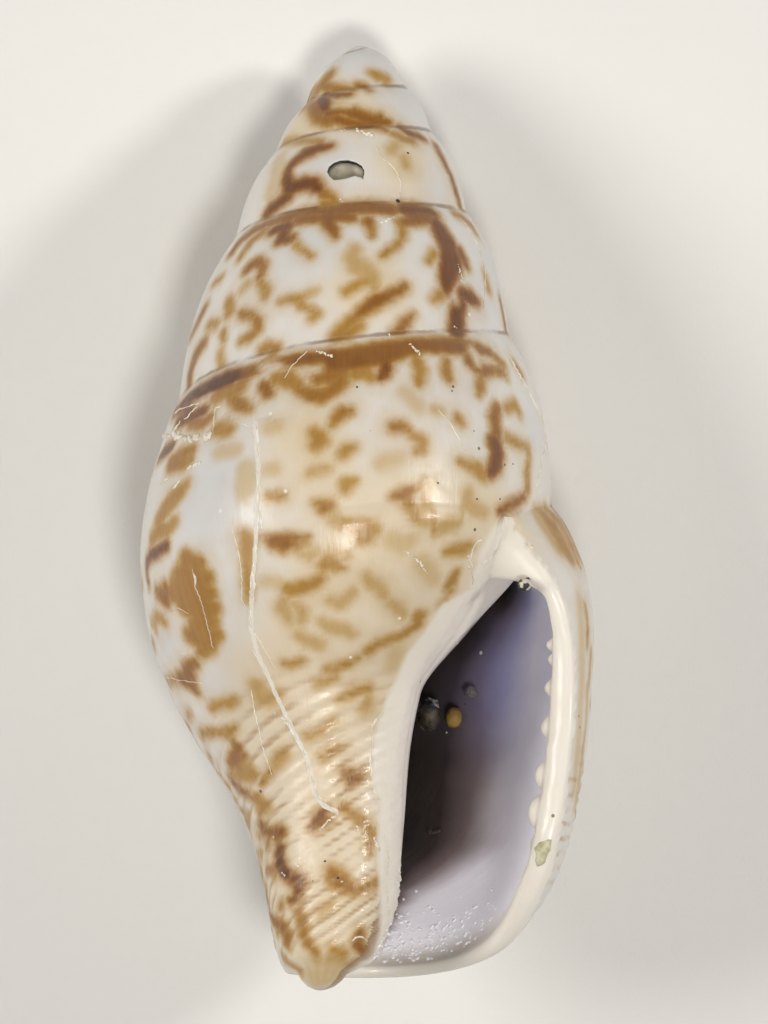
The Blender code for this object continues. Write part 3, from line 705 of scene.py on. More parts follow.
# Brown marks, each a chain of round spots in picture points (x, y, radius) that run together.
MARKS = {
    Tone.FAINT: (
        ((279, 160, 7), (277, 175, 7), (272, 190, 7)),
        ((406, 393, 4), (412, 399, 4), (420, 407, 4)),
        ((381, 463, 4), (392, 460, 4), (401, 457, 2)),
        ((270, 427, 5), (277, 426, 4)),
        ((268, 469, 4), (274, 469, 4)),
        ((266, 581, 3), (273, 581, 3), (281, 585, 4)),
        ((246, 470, 8), (246, 482, 9), (246, 492, 8)),
        ((218, 453, 4), (228, 451, 5), (237, 450, 4)),
        ((421, 562, 5), (428, 570, 6), (434, 580, 4)),
        ((392, 540, 6), (403, 545, 6), (412, 540, 4)),
        ((314, 978, 6), (325, 976, 8), (337, 973, 7)),
        ((397, 652, 6), (393, 664, 6)),
        ((580, 600, 5), (582, 640, 5), (582, 690, 5), (579, 740, 5), (574, 790, 5)),
    ),
    Tone.PALE: (
        ((395, 145, 3), (392, 150, 4)),
        ((404, 158, 3), (406, 165, 3.5)),
        ((355, 248, 4), (352, 258, 6), (357, 265, 8), (365, 270, 7), (372, 278, 6), (374, 286, 3)),
        ((247, 284, 4), (243, 289, 3)),
        ((305, 295, 2.4), (315, 291, 1.8)),
        ((434, 410, 2.4), (441, 411, 1.6)),
        ((309, 473, 2), (317, 471, 3.2), (328, 469, 2)),
        ((468, 494, 5), (467, 503, 5), (474, 508, 5), (484, 513, 4)),
        ((424, 520, 5), (428, 484, 3), (420, 486, 3)),
        ((444, 525, 6), (454, 523, 5), (461, 521, 3)),
        ((333, 552, 3), (345, 555, 3.6)),
        ((283, 601, 3), (283, 608, 6), (287, 614, 4), (289, 621, 2.4)),
        ((257, 686, 6), (261, 695, 8), (270, 699, 7), (277, 694, 4)),
        ((331, 601, 3), (340, 604, 5), (347, 599, 4), (353, 592, 3)),
        ((366, 577, 3), (372, 583, 5), (381, 590, 4), (385, 598, 2)),
        ((322, 622, 3), (331, 627, 5), (342, 629, 5), (352, 634, 3)),
        ((391, 603, 3), (398, 608, 4), (403, 615, 3)),
        ((299, 636, 3), (309, 641, 5), (319, 645, 4)),
        ((300, 552, 3), (309, 556, 4), (317, 553, 3)),
        ((296, 606, 3), (302, 612, 4), (301, 620, 3)),
        ((320, 912, 3), (331, 906, 3)),
        ((446, 599, 3), (440, 604, 2)),
        ((480, 563, 3), (488, 561, 5), (493, 564, 3)),
        ((368, 699, 4), (366, 707, 6)),
        ((536, 512, 5), (542, 522, 7), (550, 535, 7), (558, 548, 6)),
        ((587, 690, 4), (587, 706, 4), (586, 722, 4)),
        ((580, 772, 4), (578, 790, 4), (575, 806, 3)),
    ),
    Tone.OCHRE: (
        ((373, 73, 3.5), (378, 76, 5), (387, 78, 4), (385, 83, 2)),
        ((284, 143, 4), (296, 141, 4), (308, 141, 4), (320, 142, 4)),
        ((297, 245, 3), (304, 251, 2.6), (311, 256, 2)),
        ((374, 280, 3.5), (363, 282, 3.5), (353, 287, 4), (346, 292, 3.5)),
        ((434, 253, 4), (429, 261, 3)),
        ((440, 295, 5), (434, 300, 3)),
        ((485, 274, 2.5), (487, 283, 3), (489, 290, 3.5)),
        ((261, 283, 4), (266, 290, 4), (265, 297, 2.5)),
        ((229, 303, 6), (230, 311, 5), (226, 316, 3)),
        ((281, 301, 2), (291, 299, 2.6), (300, 299, 4.5), (302, 306, 3), (310, 309, 2.6),
         (317, 314, 3.4), (311, 319, 2)),
        ((220, 354, 4), (222, 364, 4)),
        ((216, 398, 7), (226, 391, 8), (240, 388, 7)),
        ((277, 378, 7), (288, 379, 9), (296, 384, 6)),
        ((356, 373, 7), (366, 372, 7), (371, 378, 4)),
        ((394, 134, 4), (402, 138, 5), (412, 141, 4)),
        ((417, 361, 6), (421, 370, 5), (420, 378, 5), (419, 384, 3)),
        ((314, 432, 4), (319, 437, 7), (317, 444, 6), (323, 441, 5)),
        ((413, 436, 3), (422, 441, 5.5), (422, 449, 5), (416, 452, 2.6)),
        ((457, 418, 3.6), (462, 422, 2.8)),
        ((354, 448, 2.4), (346, 450, 5), (343, 455, 3.6)),
        ((354, 481, 2.6), (346, 484, 5.5), (345, 490, 3)),
        ((507, 408, 5), (515, 405, 5), (519, 412, 4)),
        ((460, 462, 3), (469, 466, 4), (478, 470, 7), (484, 476, 5)),
        ((508, 438, 5), (519, 444, 4), (528, 448, 3.6), (529, 458, 2.6), (528, 466, 3.6)),
        ((334, 523, 2.6), (343, 524, 3.6), (354, 526, 4.5), (362, 530, 8), (371, 530, 8),
         (361, 538, 5), (369, 538, 5)),
        ((322, 566, 4), (328, 561, 7), (336, 566, 5), (342, 568, 2)),
        ((286, 588, 4.5), (292, 590, 6), (300, 588, 6), (308, 586, 5), (316, 582, 5),
         (322, 577, 3)),
        ((244, 534, 5), (248, 542, 7), (247, 552, 5.5), (247, 563, 5), (247, 575, 4.4),
         (248, 588, 4), (248, 599, 2.6)),
        ((216, 429, 6), (224, 432, 6), (231, 429, 4), (224, 424, 4)),
        ((187, 483, 4), (180, 492, 8), (171, 501, 10), (165, 510, 9), (158, 520, 8)),
        ((152, 538, 7), (159, 530, 8), (167, 530, 7), (175, 521, 5)),
        ((165, 622, 4), (158, 616, 5), (152, 623, 4), (156, 631, 2.6)),
        ((212, 708, 4), (220, 705, 4.6), (229, 703, 4.6), (236, 700, 2.6)),
        ((327, 669, 2.4), (338, 667, 3), (349, 663, 3), (358, 658, 2)),
        ((316, 684, 2), (326, 681, 2.6), (336, 677, 2)),
        ((240, 770, 8), (251, 774, 8), (232, 775, 5)),
        ((285, 754, 3.6), (280, 759, 4.6), (275, 764, 4)),
        ((333, 950, 4.6), (343, 953, 4)),
        ((470, 547, 3.6), (463, 549, 6), (455, 550, 5), (447, 552, 3)),
        ((423, 615, 3), (417, 616, 5), (418, 624, 5), (409, 631, 4), (400, 636, 4),
         (389, 640, 3.6), (378, 644, 4), (368, 651, 4)),
        ((367, 689, 4), (357, 691, 3.6), (348, 695, 3), (340, 699, 2)),
        ((308, 737, 2.4), (316, 734, 2.4), (325, 729, 2.2), (333, 722, 1.8)),
        ((547, 511, 6), (555, 517, 10), (561, 524, 11), (565, 532, 11), (569, 541, 10),
         (573, 551, 8), (577, 560, 6)),
        ((545, 516, 10), (552, 525, 13), (558, 536, 13), (564, 547, 12), (570, 556, 9)),
        ((556, 512, 9), (564, 522, 12), (570, 533, 12), (575, 545, 12), (579, 556, 9)),
        ((591, 652, 3), (590, 668, 3.5), (589, 684, 3)),
        ((585, 734, 3), (583, 748, 3.5), (581, 764, 3)),
    ),
    Tone.TAN: (
        ((331, 73, 4), (325, 80, 7), (318, 88, 8)),
        ((312, 99, 6), (306, 107, 5)),
        ((325, 194, 6), (332, 198, 4), (336, 203, 4), (325, 204, 5)),
        ((455, 214, 4), (463, 218, 4), (471, 225, 5), (475, 232, 3)),
        ((263, 232, 5), (251, 241, 5), (245, 250, 4), (240, 258, 3.5)),
        ((401, 222, 5), (403, 230, 4), (402, 238, 3.2), (396, 246, 2.6), (388, 251, 2.2),
         (382, 256, 1.8)),
        ((242, 314, 5), (252, 317, 5), (258, 323, 5), (257, 331, 4), (249, 337, 4), (241, 341, 3)),
        ((209, 325, 4), (216, 324, 4)),
        ((223, 333, 4), (224, 339, 3)),
        ((214, 283, 4), (221, 278, 3)),
        ((352, 320, 5), (344, 328, 6), (336, 336, 6), (348, 334, 6), (360, 326, 4)),
        ((262, 350, 4), (269, 347, 5), (276, 348, 5), (272, 354, 4)),
        ((318, 378, 8), (329, 377, 9), (343, 373, 8)),
        ((312, 92, 7), (307, 98, 6), (314, 108, 8), (318, 118, 7), (330, 121, 7)),
        ((322, 86, 6), (334, 88, 5), (344, 89, 4), (353, 90, 4)),
        ((192, 423, 7), (202, 424, 6), (210, 417, 5)),
        ((228, 393, 4), (233, 399, 6), (238, 404, 7), (249, 409, 4)),
        ((298, 388, 5), (309, 394, 7), (320, 396, 8), (331, 391, 7), (340, 382, 9)),
        ((446, 361, 4), (446, 371, 5), (449, 380, 3.6)),
        ((481, 380, 5), (480, 388, 5), (479, 394, 2.6)),
        ((496, 358, 5), (504, 366, 4)),
        ((515, 364, 4), (521, 374, 4)),
        ((350, 411, 3.6), (342, 412, 6), (337, 418, 5), (332, 425, 2.4)),
        ((393, 427, 4.5), (401, 426, 5.5), (409, 431, 2.6)),
        ((267, 497, 3), (275, 496, 4), (283, 496, 2)),
        ((316, 504, 2.6), (324, 507, 6), (331, 504, 3.6)),
        ((527, 475, 5), (528, 484, 3.4), (527, 491, 4)),
        ((407, 501, 5), (410, 509, 6), (418, 516, 5)),
        ((433, 515, 1.8), (434, 524, 1.8), (436, 533, 1.2)),
        ((192, 450, 6), (181, 455, 8), (171, 464, 9), (184, 463, 7), (191, 459, 4)),
        ((186, 560, 10), (200, 565, 8), (180, 576, 12), (194, 580, 14), (208, 578, 8),
         (176, 590, 14), (192, 596, 16), (210, 594, 9), (183, 604, 11), (201, 611, 15),
         (213, 608, 9)),
        ((197, 626, 12), (212, 622, 9), (189, 636, 8), (205, 639, 12), (217, 634, 7),
         (202, 651, 8), (211, 646, 7)),
        ((174, 680, 5), (168, 682, 4)),
        ((204, 733, 4), (214, 732, 4), (223, 733, 4.6), (231, 731, 5), (235, 728, 3)),
        ((255, 798, 6), (262, 803, 7), (268, 806, 5), (261, 812, 5)),
        ((344, 808, 4), (351, 812, 3), (359, 820, 5), (366, 824, 5), (372, 832, 5), (369, 842, 5),
         (370, 852, 3)),
        ((332, 872, 6), (340, 878, 8), (333, 881, 6), (345, 886, 7), (355, 890, 5), (366, 887, 5),
         (377, 882, 4)),
        ((300, 915, 5), (303, 924, 5), (303, 934, 5), (308, 944, 4), (316, 952, 3)),
        ((284, 959, 5), (291, 966, 6), (300, 971, 4)),
        ((266, 895, 4), (269, 905, 4)),
        ((456, 574, 4.4), (452, 581, 6), (448, 587, 4), (451, 592, 2.6)),
        ((302, 661, 2.4), (292, 664, 3), (284, 663, 2)),
        ((322, 757, 2.4), (330, 752, 2.4), (338, 748, 2)),
        ((585, 606, 2.5), (587, 618, 3), (588, 632, 3), (587, 644, 2.5)),
    ),
    Tone.BROWN: (
        ((357, 86, 3), (364, 87, 3.6), (369, 90, 2)),
        ((328, 113, 7), (341, 110, 5), (353, 113, 7), (362, 117, 8), (372, 120, 7), (380, 118, 5),
         (378, 127, 5), (386, 130, 3)),
        ((351, 123, 6), (361, 125, 6)),
        ((232, 252, 7), (240, 241, 7), (250, 233, 7), (262, 226, 6), (275, 221, 6), (288, 217, 6),
         (302, 213, 6), (316, 211, 7), (330, 211, 9), (345, 209, 9), (360, 208, 9), (375, 208, 9),
         (390, 209, 9)),
        ((328, 221, 8), (333, 229, 6), (335, 237, 2.5)),
        ((368, 221, 6), (371, 229, 4), (372, 236, 2)),
        ((413, 216, 10), (428, 217, 9), (404, 222, 7)),
        ((300, 219, 8), (315, 218, 8), (345, 216, 8), (352, 218, 6)),
        ((246, 271, 4), (250, 266, 5), (257, 262, 6), (263, 265, 5), (262, 273, 4),
         (258, 278, 2.5)),
        ((206, 306, 4), (201, 315, 6), (196, 326, 6), (190, 338, 4)),
        ((204, 343, 6), (198, 351, 6), (193, 362, 7), (190, 374, 7), (189, 386, 5)),
        ((405, 287, 4), (396, 292, 5), (385, 297, 6), (375, 302, 7), (366, 309, 6), (358, 315, 5)),
        ((413, 314, 2), (409, 319, 3), (403, 324, 5), (401, 330, 5), (393, 332, 3)),
        ((336, 119, 6), (346, 122, 6), (366, 125, 6), (377, 122, 7), (388, 122, 4)),
        ((262, 366, 6), (275, 362, 5), (290, 360, 7), (305, 360, 9), (320, 361, 12),
         (335, 361, 14), (350, 359, 14), (365, 356, 14), (380, 353, 14), (395, 350, 12),
         (410, 347, 10), (425, 345, 9), (440, 345, 10), (455, 346, 10), (468, 347, 9),
         (480, 349, 7), (490, 352, 5)),
        ((244, 374, 9), (254, 370, 7)),
        ((264, 386, 6), (268, 393, 6)),
        ((469, 361, 6), (476, 368, 6), (484, 371, 7), (493, 370, 5), (502, 372, 5),
         (506, 377, 2.5)),
        ((497, 408, 6), (494, 419, 8), (497, 431, 7)),
        ((392, 496, 2), (398, 496, 4.5), (405, 494, 5.5), (413, 490, 3.6)),
        ((262, 537, 2), (268, 539, 4.5), (274, 542, 7), (283, 543, 9), (292, 541, 6),
         (300, 540, 4.5), (307, 538, 2.6)),
        ((157, 592, 6), (166, 600, 8), (165, 589, 8)),
        ((195, 663, 6), (187, 668, 7), (190, 675, 8), (180, 679, 7), (191, 684, 8), (197, 691, 5)),
        ((232, 742, 4), (239, 748, 6), (236, 757, 8), (232, 765, 7), (244, 757, 5)),
        ((270, 772, 2.6), (266, 777, 3), (261, 783, 2.6)),
        ((270, 915, 4), (275, 922, 6), (283, 928, 8), (287, 937, 7), (288, 945, 4)),
        ((360, 934, 5), (358, 943, 6), (362, 950, 5)),
    ),
    Tone.DARK: (
        ((325, 95, 6), (337, 95, 4.5), (349, 94, 4)),
        ((321, 100, 9), (325, 108, 8)),
        ((401, 128, 3), (408, 133, 5), (418, 136, 5), (424, 139, 3)),
        ((436, 146, 4), (441, 156, 5), (446, 166, 4), (451, 176, 4), (455, 188, 5), (458, 198, 5),
         (460, 206, 4)),
        ((330, 146, 4), (318, 148, 7), (306, 153, 8), (296, 160, 6), (289, 168, 5), (286, 178, 7),
         (290, 188, 9), (302, 184, 8), (313, 183, 7), (318, 189, 7)),
        ((287, 197, 7), (279, 203, 7), (271, 209, 7), (267, 214, 6)),
        ((405, 209, 9), (418, 210, 9), (430, 212, 8), (438, 216, 5)),
        ((282, 228, 6), (283, 236, 8), (280, 241, 6), (291, 238, 6)),
        ((436, 222, 8), (441, 232, 11), (447, 242, 12), (450, 252, 13), (452, 262, 14),
         (449, 272, 12), (447, 282, 9), (447, 290, 6)),
        ((460, 251, 6), (464, 260, 5), (467, 267, 3)),
        ((462, 293, 7), (470, 297, 8), (477, 302, 5)),
        ((460, 303, 9), (457, 314, 9), (457, 325, 10), (456, 333, 9)),
        ((272, 232, 6), (278, 229, 8), (288, 226, 8)),
        ((505, 298, 3), (507, 312, 4), (509, 328, 4)),
        ((175, 412, 8), (182, 407, 8), (190, 412, 8), (178, 422, 8), (204, 411, 6)),
        ((386, 366, 7), (384, 373, 6), (380, 378, 4)),
        ((494, 442, 10), (498, 454, 9), (495, 465, 10), (490, 474, 6)),
        ((524, 497, 4), (517, 502, 5), (508, 507, 5), (500, 511, 4)),
        ((231, 780, 4), (237, 787, 5), (243, 792, 5), (250, 795, 4)),
        ((261, 822, 4), (263, 830, 6), (271, 832, 5), (281, 832, 6), (277, 839, 5)),
        ((295, 880, 8), (303, 880, 5), (298, 889, 7), (299, 897, 5), (291, 901, 4)),
        ((327, 809, 3), (321, 815, 6), (318, 822, 6), (313, 827, 4), (329, 820, 3)),
        ((363, 774, 2.6), (357, 779, 4.4), (351, 781, 4), (350, 774, 4), (345, 773, 3)),
    ),
    Tone.DEEP: (
        ((184, 402, 7), (194, 394, 9), (205, 388, 9), (215, 383, 10), (227, 379, 11),
         (238, 375, 9)),
        ((172, 446, 6), (164, 452, 8), (159, 459, 5)),
        ((167, 545, 5), (160, 550, 6), (151, 555, 6), (147, 562, 5), (147, 574, 4), (149, 586, 3)),
        ((281, 847, 5), (279, 856, 7), (280, 866, 7), (286, 874, 7)),
    ),
}
# Clear holes in the marks.
GAPS = (
    ((336, 105, 3), (344, 104, 4.5), (350, 105, 3)),
    ((291, 206, 2.6), (303, 202, 4), (314, 198, 2.6)),
    ((442, 209, 3.6), (444, 215, 4.6), (446, 223, 3)),
    ((454, 297, 3.4), (456, 301, 2.4)),
    ((262, 366, 3), (270, 368, 6), (278, 367, 4)),
    ((299, 371, 3), (308, 371, 4), (319, 369, 3.4)),
    ((472, 350, 3.4), (476, 356, 5.6), (478, 363, 3.4)),
    ((152, 567, 4), (160, 569, 7.6), (163, 563, 5)),
    ((168, 616, 4), (172, 620, 6.6), (179, 625, 4.6)),
    ((249, 326, 3), (246, 324, 3)),
)


@dataclass
class Weathering:
    """Where the finish changes: soft areas in picture points (x, y, radius)."""

    warm: tuple = (
        (440, 560, 90), (330, 620, 80), (400, 640, 70), (330, 760, 90), (300, 880, 80),
        (340, 940, 60), (250, 700, 50), (480, 540, 50), (300, 450, 50), (380, 520, 50),
        (350, 110, 40), (300, 130, 30), (360, 290, 50), (410, 170, 40),
    )
    cool: tuple = (
        (360, 55, 30), (200, 500, 50), (200, 470, 40), (165, 640, 30), (530, 430, 30),
        (500, 270, 40), (320, 240, 50), (480, 300, 40), (190, 320, 40), (220, 690, 30),
        (410, 100, 40), (330, 175, 30), (440, 190, 30),
    )


def spread(items: tuple, step: float = 2.6) -> list[Point]:
    """Fill a chain of spots with more spots between them.

    Args:
        items: Spots (x, y, radius) in picture points.
        step: Largest gap to leave between spots.

    Returns:
        The spots with the gaps filled.
    """
    filled = [items[0]]
    for start, end in zip(items, items[1:]):
        parts = max(1, math.ceil(math.hypot(end[0] - start[0], end[1] - start[1]) / step))
        for part in range(1, parts + 1):
            filled.append(tuple(mix(a, b, part / parts) for a, b in zip(start, end)))
    return filled


class Markings:
    """Works out, for each vertex, how far inside the nearest mark it is and that mark's tone."""

    reach: float = 0.5           # millimetres kept as the value far from every mark
    blend: float = 0.03          # millimetres over which two tones run together
    swell: float = 1.06          # growth of each spot's radius where the stain bleeds
    spill: float = 1.0           # picture points that each spot's edge bleeds
    batch: int = 4000            # vertices that are measured at once
    seed: int = 7
    band_turns: tuple = (-2.58, 0.06, 0.0035)    # from, to and step
    mark_turns: tuple = (-2.55, 0.05, 0.036)
    turn_stray: float = 0.01
    mark_stray: float = 0.008
    lobe_share: float = 0.45
    lobe_drop: float = 0.18      # millimetres under the suture
    first_drop: float = 0.5
    last_drop: float = 0.15
    drop_steps: tuple = (0.22, 0.5)
    mark_share: float = 0.5
    kinds: tuple = ("dash", "dash", "arrow", "dash", "blotch")
    kind_shares: tuple = (0.3, 0.25, 0.22, 0.15, 0.08)
    last_whorl: float = -0.9     # turn from which a whorl has no other below it
    base_end: float = 11.8
    base_marks: int = 70
    base_turns: tuple = (-0.6, -0.05)
    base_drops: tuple = (11.4, 13.6)

    def __init__(self, surface: Surface, form: ShellForm, pose: Matrix) -> None:
        """Keep the surface that the marks lie on."""
        self.surface = surface
        self.form = form
        self.pose = pose
        self.scale = surface.picture.point

    def seen_spots(self, chains: tuple, tone: Tone) -> np.ndarray:
        """Spots on the side that faces the camera: x, y, z, radius and tone, millimetres."""
        rows = []
        for chain in chains:
            for x, y, radius in spread(chain):
                hit, _ = self.surface.under(x, y)
                size = (radius * self.swell + self.spill) * self.scale
                rows.append((*(hit / MM), size, tone.value))
        return np.array(rows)

    def hidden_spots(self) -> np.ndarray:
        """Spots of the same kinds on the back, where the picture shows nothing."""
        random = np.random.default_rng(self.seed)
        rows = self.band_spots()
        for turn in np.arange(*self.mark_turns):
            where = turn + random.normal(0, self.turn_stray)
            if not self.hidden(where):
                continue
            top, low = self.whorl_ends(where)
            if random.random() < self.lobe_share:
                rows += self.mark(random, where, top + self.lobe_drop, "lobe")
            drop = top + self.first_drop
            while drop < low - self.last_drop:
                kind = random.choice(self.kinds, p=self.kind_shares)
                if random.random() < self.mark_share:
                    there = where + random.normal(0, self.mark_stray)
                    rows += self.mark(random, there, drop, kind)
                drop += random.uniform(*self.drop_steps)
        for _ in range(self.base_marks):
            turn, drop = random.uniform(*self.base_turns), random.uniform(*self.base_drops)
            rows += self.mark(random, turn, drop, "dash")
        return np.array(rows)

    def band_spots(self) -> list:
        """Spots of the brown band under the suture, on the back."""
        rows = []
        for turn in np.arange(*self.band_turns):
            if self.hidden(turn):
                wave = 0.5 + 0.5 * math.sin(23.0 * turn) * math.sin(9.0 * turn + 1.0)
                place = self.on_coil(turn, self.whorl_ends(turn)[0] + 0.07 + 0.05 * wave)
                rows.append((*place, 0.10 + 0.05 * wave, Tone.BROWN.value))
        return rows

    def whorl_ends(self, turn: float) -> tuple[float, float]:
        """Drop at which a whorl begins at its suture, and at which its marks end."""
        top = float(self.form.suture(np.array([turn]))[1][0])
        if turn >= self.last_whorl:
            return top, self.base_end
        return top, float(self.form.suture(np.array([turn + 1.0]))[1][0])

    def mark(self, random: np.random.Generator, turn: float, drop: float, kind: str) -> list:
        """Spots of one mark on the coil.

        Args:
            random: Source of the draws.
            turn: Place along the coil.
            drop: Place down the axis, millimetres.
            kind: Lobe, blotch, arrow or dash.

        Returns:
            One row of x, y, z, radius and tone for each spot.
        """
        tone = random.choice((Tone.TAN, Tone.BROWN, Tone.DARK, Tone.OCHRE)).value
        if kind == "lobe":
            steps = [(0.0, k * 0.07, 0.11 - 0.012 * k) for k in range(random.integers(3, 7))]
        elif kind == "blotch":
            tone = Tone.DARK.value
            steps = [(random.normal(0, 0.006), k * 0.11, 0.15 - 0.02 * abs(k - 4))
                     for k in range(8)]
        elif kind == "arrow":
            steps = [(0.012 * abs(k - 3) / 3, (k - 3) * 0.07, 0.07 - 0.008 * abs(k - 3))
                     for k in range(7)]
        else:
            steps = [((k - 2) * 0.005, (k - 2) * 0.012, 0.06 - 0.008 * abs(k - 2))
                     for k in range(5)]
        return [(*self.on_coil(turn + around, drop + down), radius, tone)
                for around, down, radius in steps]

    def hidden(self, turn: float) -> bool:
        """Whether a place of the coil faces away from the camera."""
        return math.sin(2.0 * math.pi * turn) < 0.05

    def on_coil(self, turn: float, drop: float) -> Point:
        """Place on the outside of the coil, millimetres in the row frame."""
        one = np.array([turn])
        if turn > -0.893:
            reach = self.form.reach_at(one, np.array([drop]))
            radius = float(self.form.whorl(one, reach)[0][0])
        else:
            top, low = self.form.suture(one)[1], self.form.suture(one + 1.0)[1]
            share = np.clip((drop - top) / (low - top), 0.0, 1.0)
            radius = float(self.form.band(one, share)[0][0])
        point = self.form.place(one, np.array([radius]), np.array([drop]))[0]
        return tuple((self.pose @ Vector(point)) / MM)

    def measure(self, points: np.ndarray, spots: np.ndarray) -> tuple[np.ndarray, np.ndarray]:
        """Distance inside the nearest spot and the tone there.

        Args:
            points: Vertices in millimetres.
            spots: Rows of x, y, z, radius and tone.

        Returns:
            Signed distance in millimetres, positive inside, and tone from 0 to 1.
        """
        inside = np.full(len(points), -self.reach)
        tone = np.full(len(points), Tone.OCHRE.value)
        for start in range(0, len(points), self.batch):
            part = points[start:start + self.batch]
            away = np.sqrt(
                (part ** 2).sum(1)[:, None] + (spots[:, :3] ** 2).sum(1)[None]
                - 2.0 * part @ spots[:, :3].T + 1e-9)
            depth = spots[:, 3][None] - away
            best = depth.max(axis=1)
            weight = np.exp((depth - best[:, None]) / self.blend)
            tone[start:start + self.batch] = (weight * spots[:, 4]).sum(1) / weight.sum(1)
            inside[start:start + self.batch] = np.maximum(best, -self.reach)
        return inside, tone

    def soft(self, points: np.ndarray, areas: tuple) -> np.ndarray:
        """Strength of soft round areas at each vertex, from 0 to 1."""
        total = np.zeros(len(points))
        for x, y, radius in areas:
            hit, _ = self.surface.under(x, y)
            away = np.linalg.norm(points - np.array(hit / MM), axis=1)
            total += np.exp(-(away / (radius * self.scale)) ** 2)
        return np.clip(total, 0.0, 1.0)


@dataclass
class Crack:
    """A line on the shell, with its path in picture points."""

    path: tuple
    far: float = 1e9             # further than any point of the picture

    def side(self, picture_points: np.ndarray) -> tuple[np.ndarray, np.ndarray]:
        """Signed distance from the line in picture points, and whether a point is beside it.

        Args:
            picture_points: Vertices in the picture, one row each.

        Returns:
            Distance, positive to the left of the line's way, and 1 beside it or 0 past its ends.
        """
        best = np.full(len(picture_points), self.far)
        beside = np.zeros(len(picture_points))
        for index, (start, end) in enumerate(zip(self.path, self.path[1:])):
            a, b = np.array(start, float), np.array(end, float)
            way = b - a
            size = np.linalg.norm(way)
            share = (picture_points - a) @ way / size ** 2
            x, y = (picture_points - a).T
            across = (x * way[1] - y * way[0]) / size
            first, last = index == 0, index == len(self.path) - 2
            held = np.clip(share, -self.far if first else 0.0, self.far if last else 1.0)
            nearest = np.linalg.norm(picture_points - (a + held[:, None] * way), axis=1)
            closer = nearest < np.abs(best)
            best = np.where(closer, np.where(across < 0, -nearest, nearest), best)
            here = (share > (0.0 if first else -self.far)) & (
                share < (1.0 if last else self.far))
            beside = np.where(closer, here.astype(float), beside)
        return best, beside


SCAR = Crack((
    (255, 420), (256, 440), (258, 462), (258, 485), (257, 505), (256.5, 532), (254.5, 560),
    (252, 590), (251, 627), (257, 652), (266, 672), (276, 695), (287, 718), (297, 738),
    (306, 756), (311, 775), (315, 793), (323, 806), (338, 812),
))


# Shader nodes

class Graph:
    """Draws nodes into a tree and wires them together by value."""

    def __init__(self, tree: bpy.types.NodeTree) -> None:
        """Keep the tree."""
        self.tree = tree

    def node(self, kind: str, inputs: dict | None = None,
             **settings: object) -> bpy.types.Node:
        """Add a node.

        Args:
            kind: The node's type.
            inputs: Values or output sockets for its inputs, by name or number.
            **settings: Properties of the node.

        Returns:
            The node.
        """
        made = self.tree.nodes.new(kind)
        for name, value in settings.items():
            setattr(made, name, value)
        for name, value in (inputs or {}).items():
            socket = made.inputs[name]
            if isinstance(value, Socket):
                self.tree.links.new(value, socket)
            else:
                socket.default_value = value
        return made

    def math(self, operation: str, *values: Value, clamp: bool = False) -> Socket:
        """Result of a Math node."""
        made = self.node("ShaderNodeMath", dict(enumerate(values)), operation=operation)
        made.use_clamp = clamp
        return made.outputs[0]

    def times(self, first: Value, second: Value) -> Socket:
        """Product of two values."""
        return self.math('MULTIPLY', first, second)

    def stray(self, noise: Socket, size: float, base: Value, clamp: bool = False) -> Socket:
        """A value that a noise moves up and down by up to half of a size."""
        centred = self.math('SUBTRACT', noise, 0.5)
        return self.math('MULTIPLY_ADD', centred, size, base, clamp=clamp)

    def step(self, value: Value, low: float, high: float) -> Socket:
        """Smooth step from 0 at low to 1 at high."""
        return self.node("ShaderNodeMapRange", {
            "Value": value, "From Min": low, "From Max": high,
        }, interpolation_type='SMOOTHSTEP').outputs["Result"]

    def blend(self, share: Value, a: Value, b: Value) -> Socket:
        """Mix of two colours."""
        made = self.node("ShaderNodeMix", data_type='RGBA')
        for index, value in ((0, share), (6, a), (7, b)):
            socket = made.inputs[index]
            if isinstance(value, Socket):
                self.tree.links.new(value, socket)
            else:
                socket.default_value = value if index == 0 else (*value[:3], 1.0)
        return made.outputs[2]

    def ramp(self, value: Value, stops: tuple) -> Socket:
        """Colour ramp through stops of (place, colour)."""
        made = self.node("ShaderNodeValToRGB", {"Fac": value})
        elements = made.color_ramp.elements
        while len(elements) < len(stops):
            elements.new(0.5)
        for element, (place, colour) in zip(elements, stops):
            element.position = place
            element.color = (*colour, 1.0)
        return made.outputs["Color"]

    def attribute(self, name: str) -> Socket:
        """Value of an attribute of the mesh."""
        return self.node("ShaderNodeAttribute", attribute_name=name).outputs["Fac"]

    def noise(self, vector: Socket, scale: float, detail: float = 3.0,
              rough: float = 0.5) -> Socket:
        """Value of a noise texture."""
        return self.node("ShaderNodeTexNoise", {
            "Vector": vector, "Scale": scale, "Detail": detail, "Roughness": rough,
        }).outputs["Fac"]

    def place(self) -> Socket:
        """Object coordinates."""
        return self.node("ShaderNodeTexCoord").outputs["Object"]

    def group(self, shared: bpy.types.NodeTree, inputs: dict) -> bpy.types.Node:
        """Add a shared group of nodes."""
        return self.node("ShaderNodeGroup", inputs, node_tree=shared)


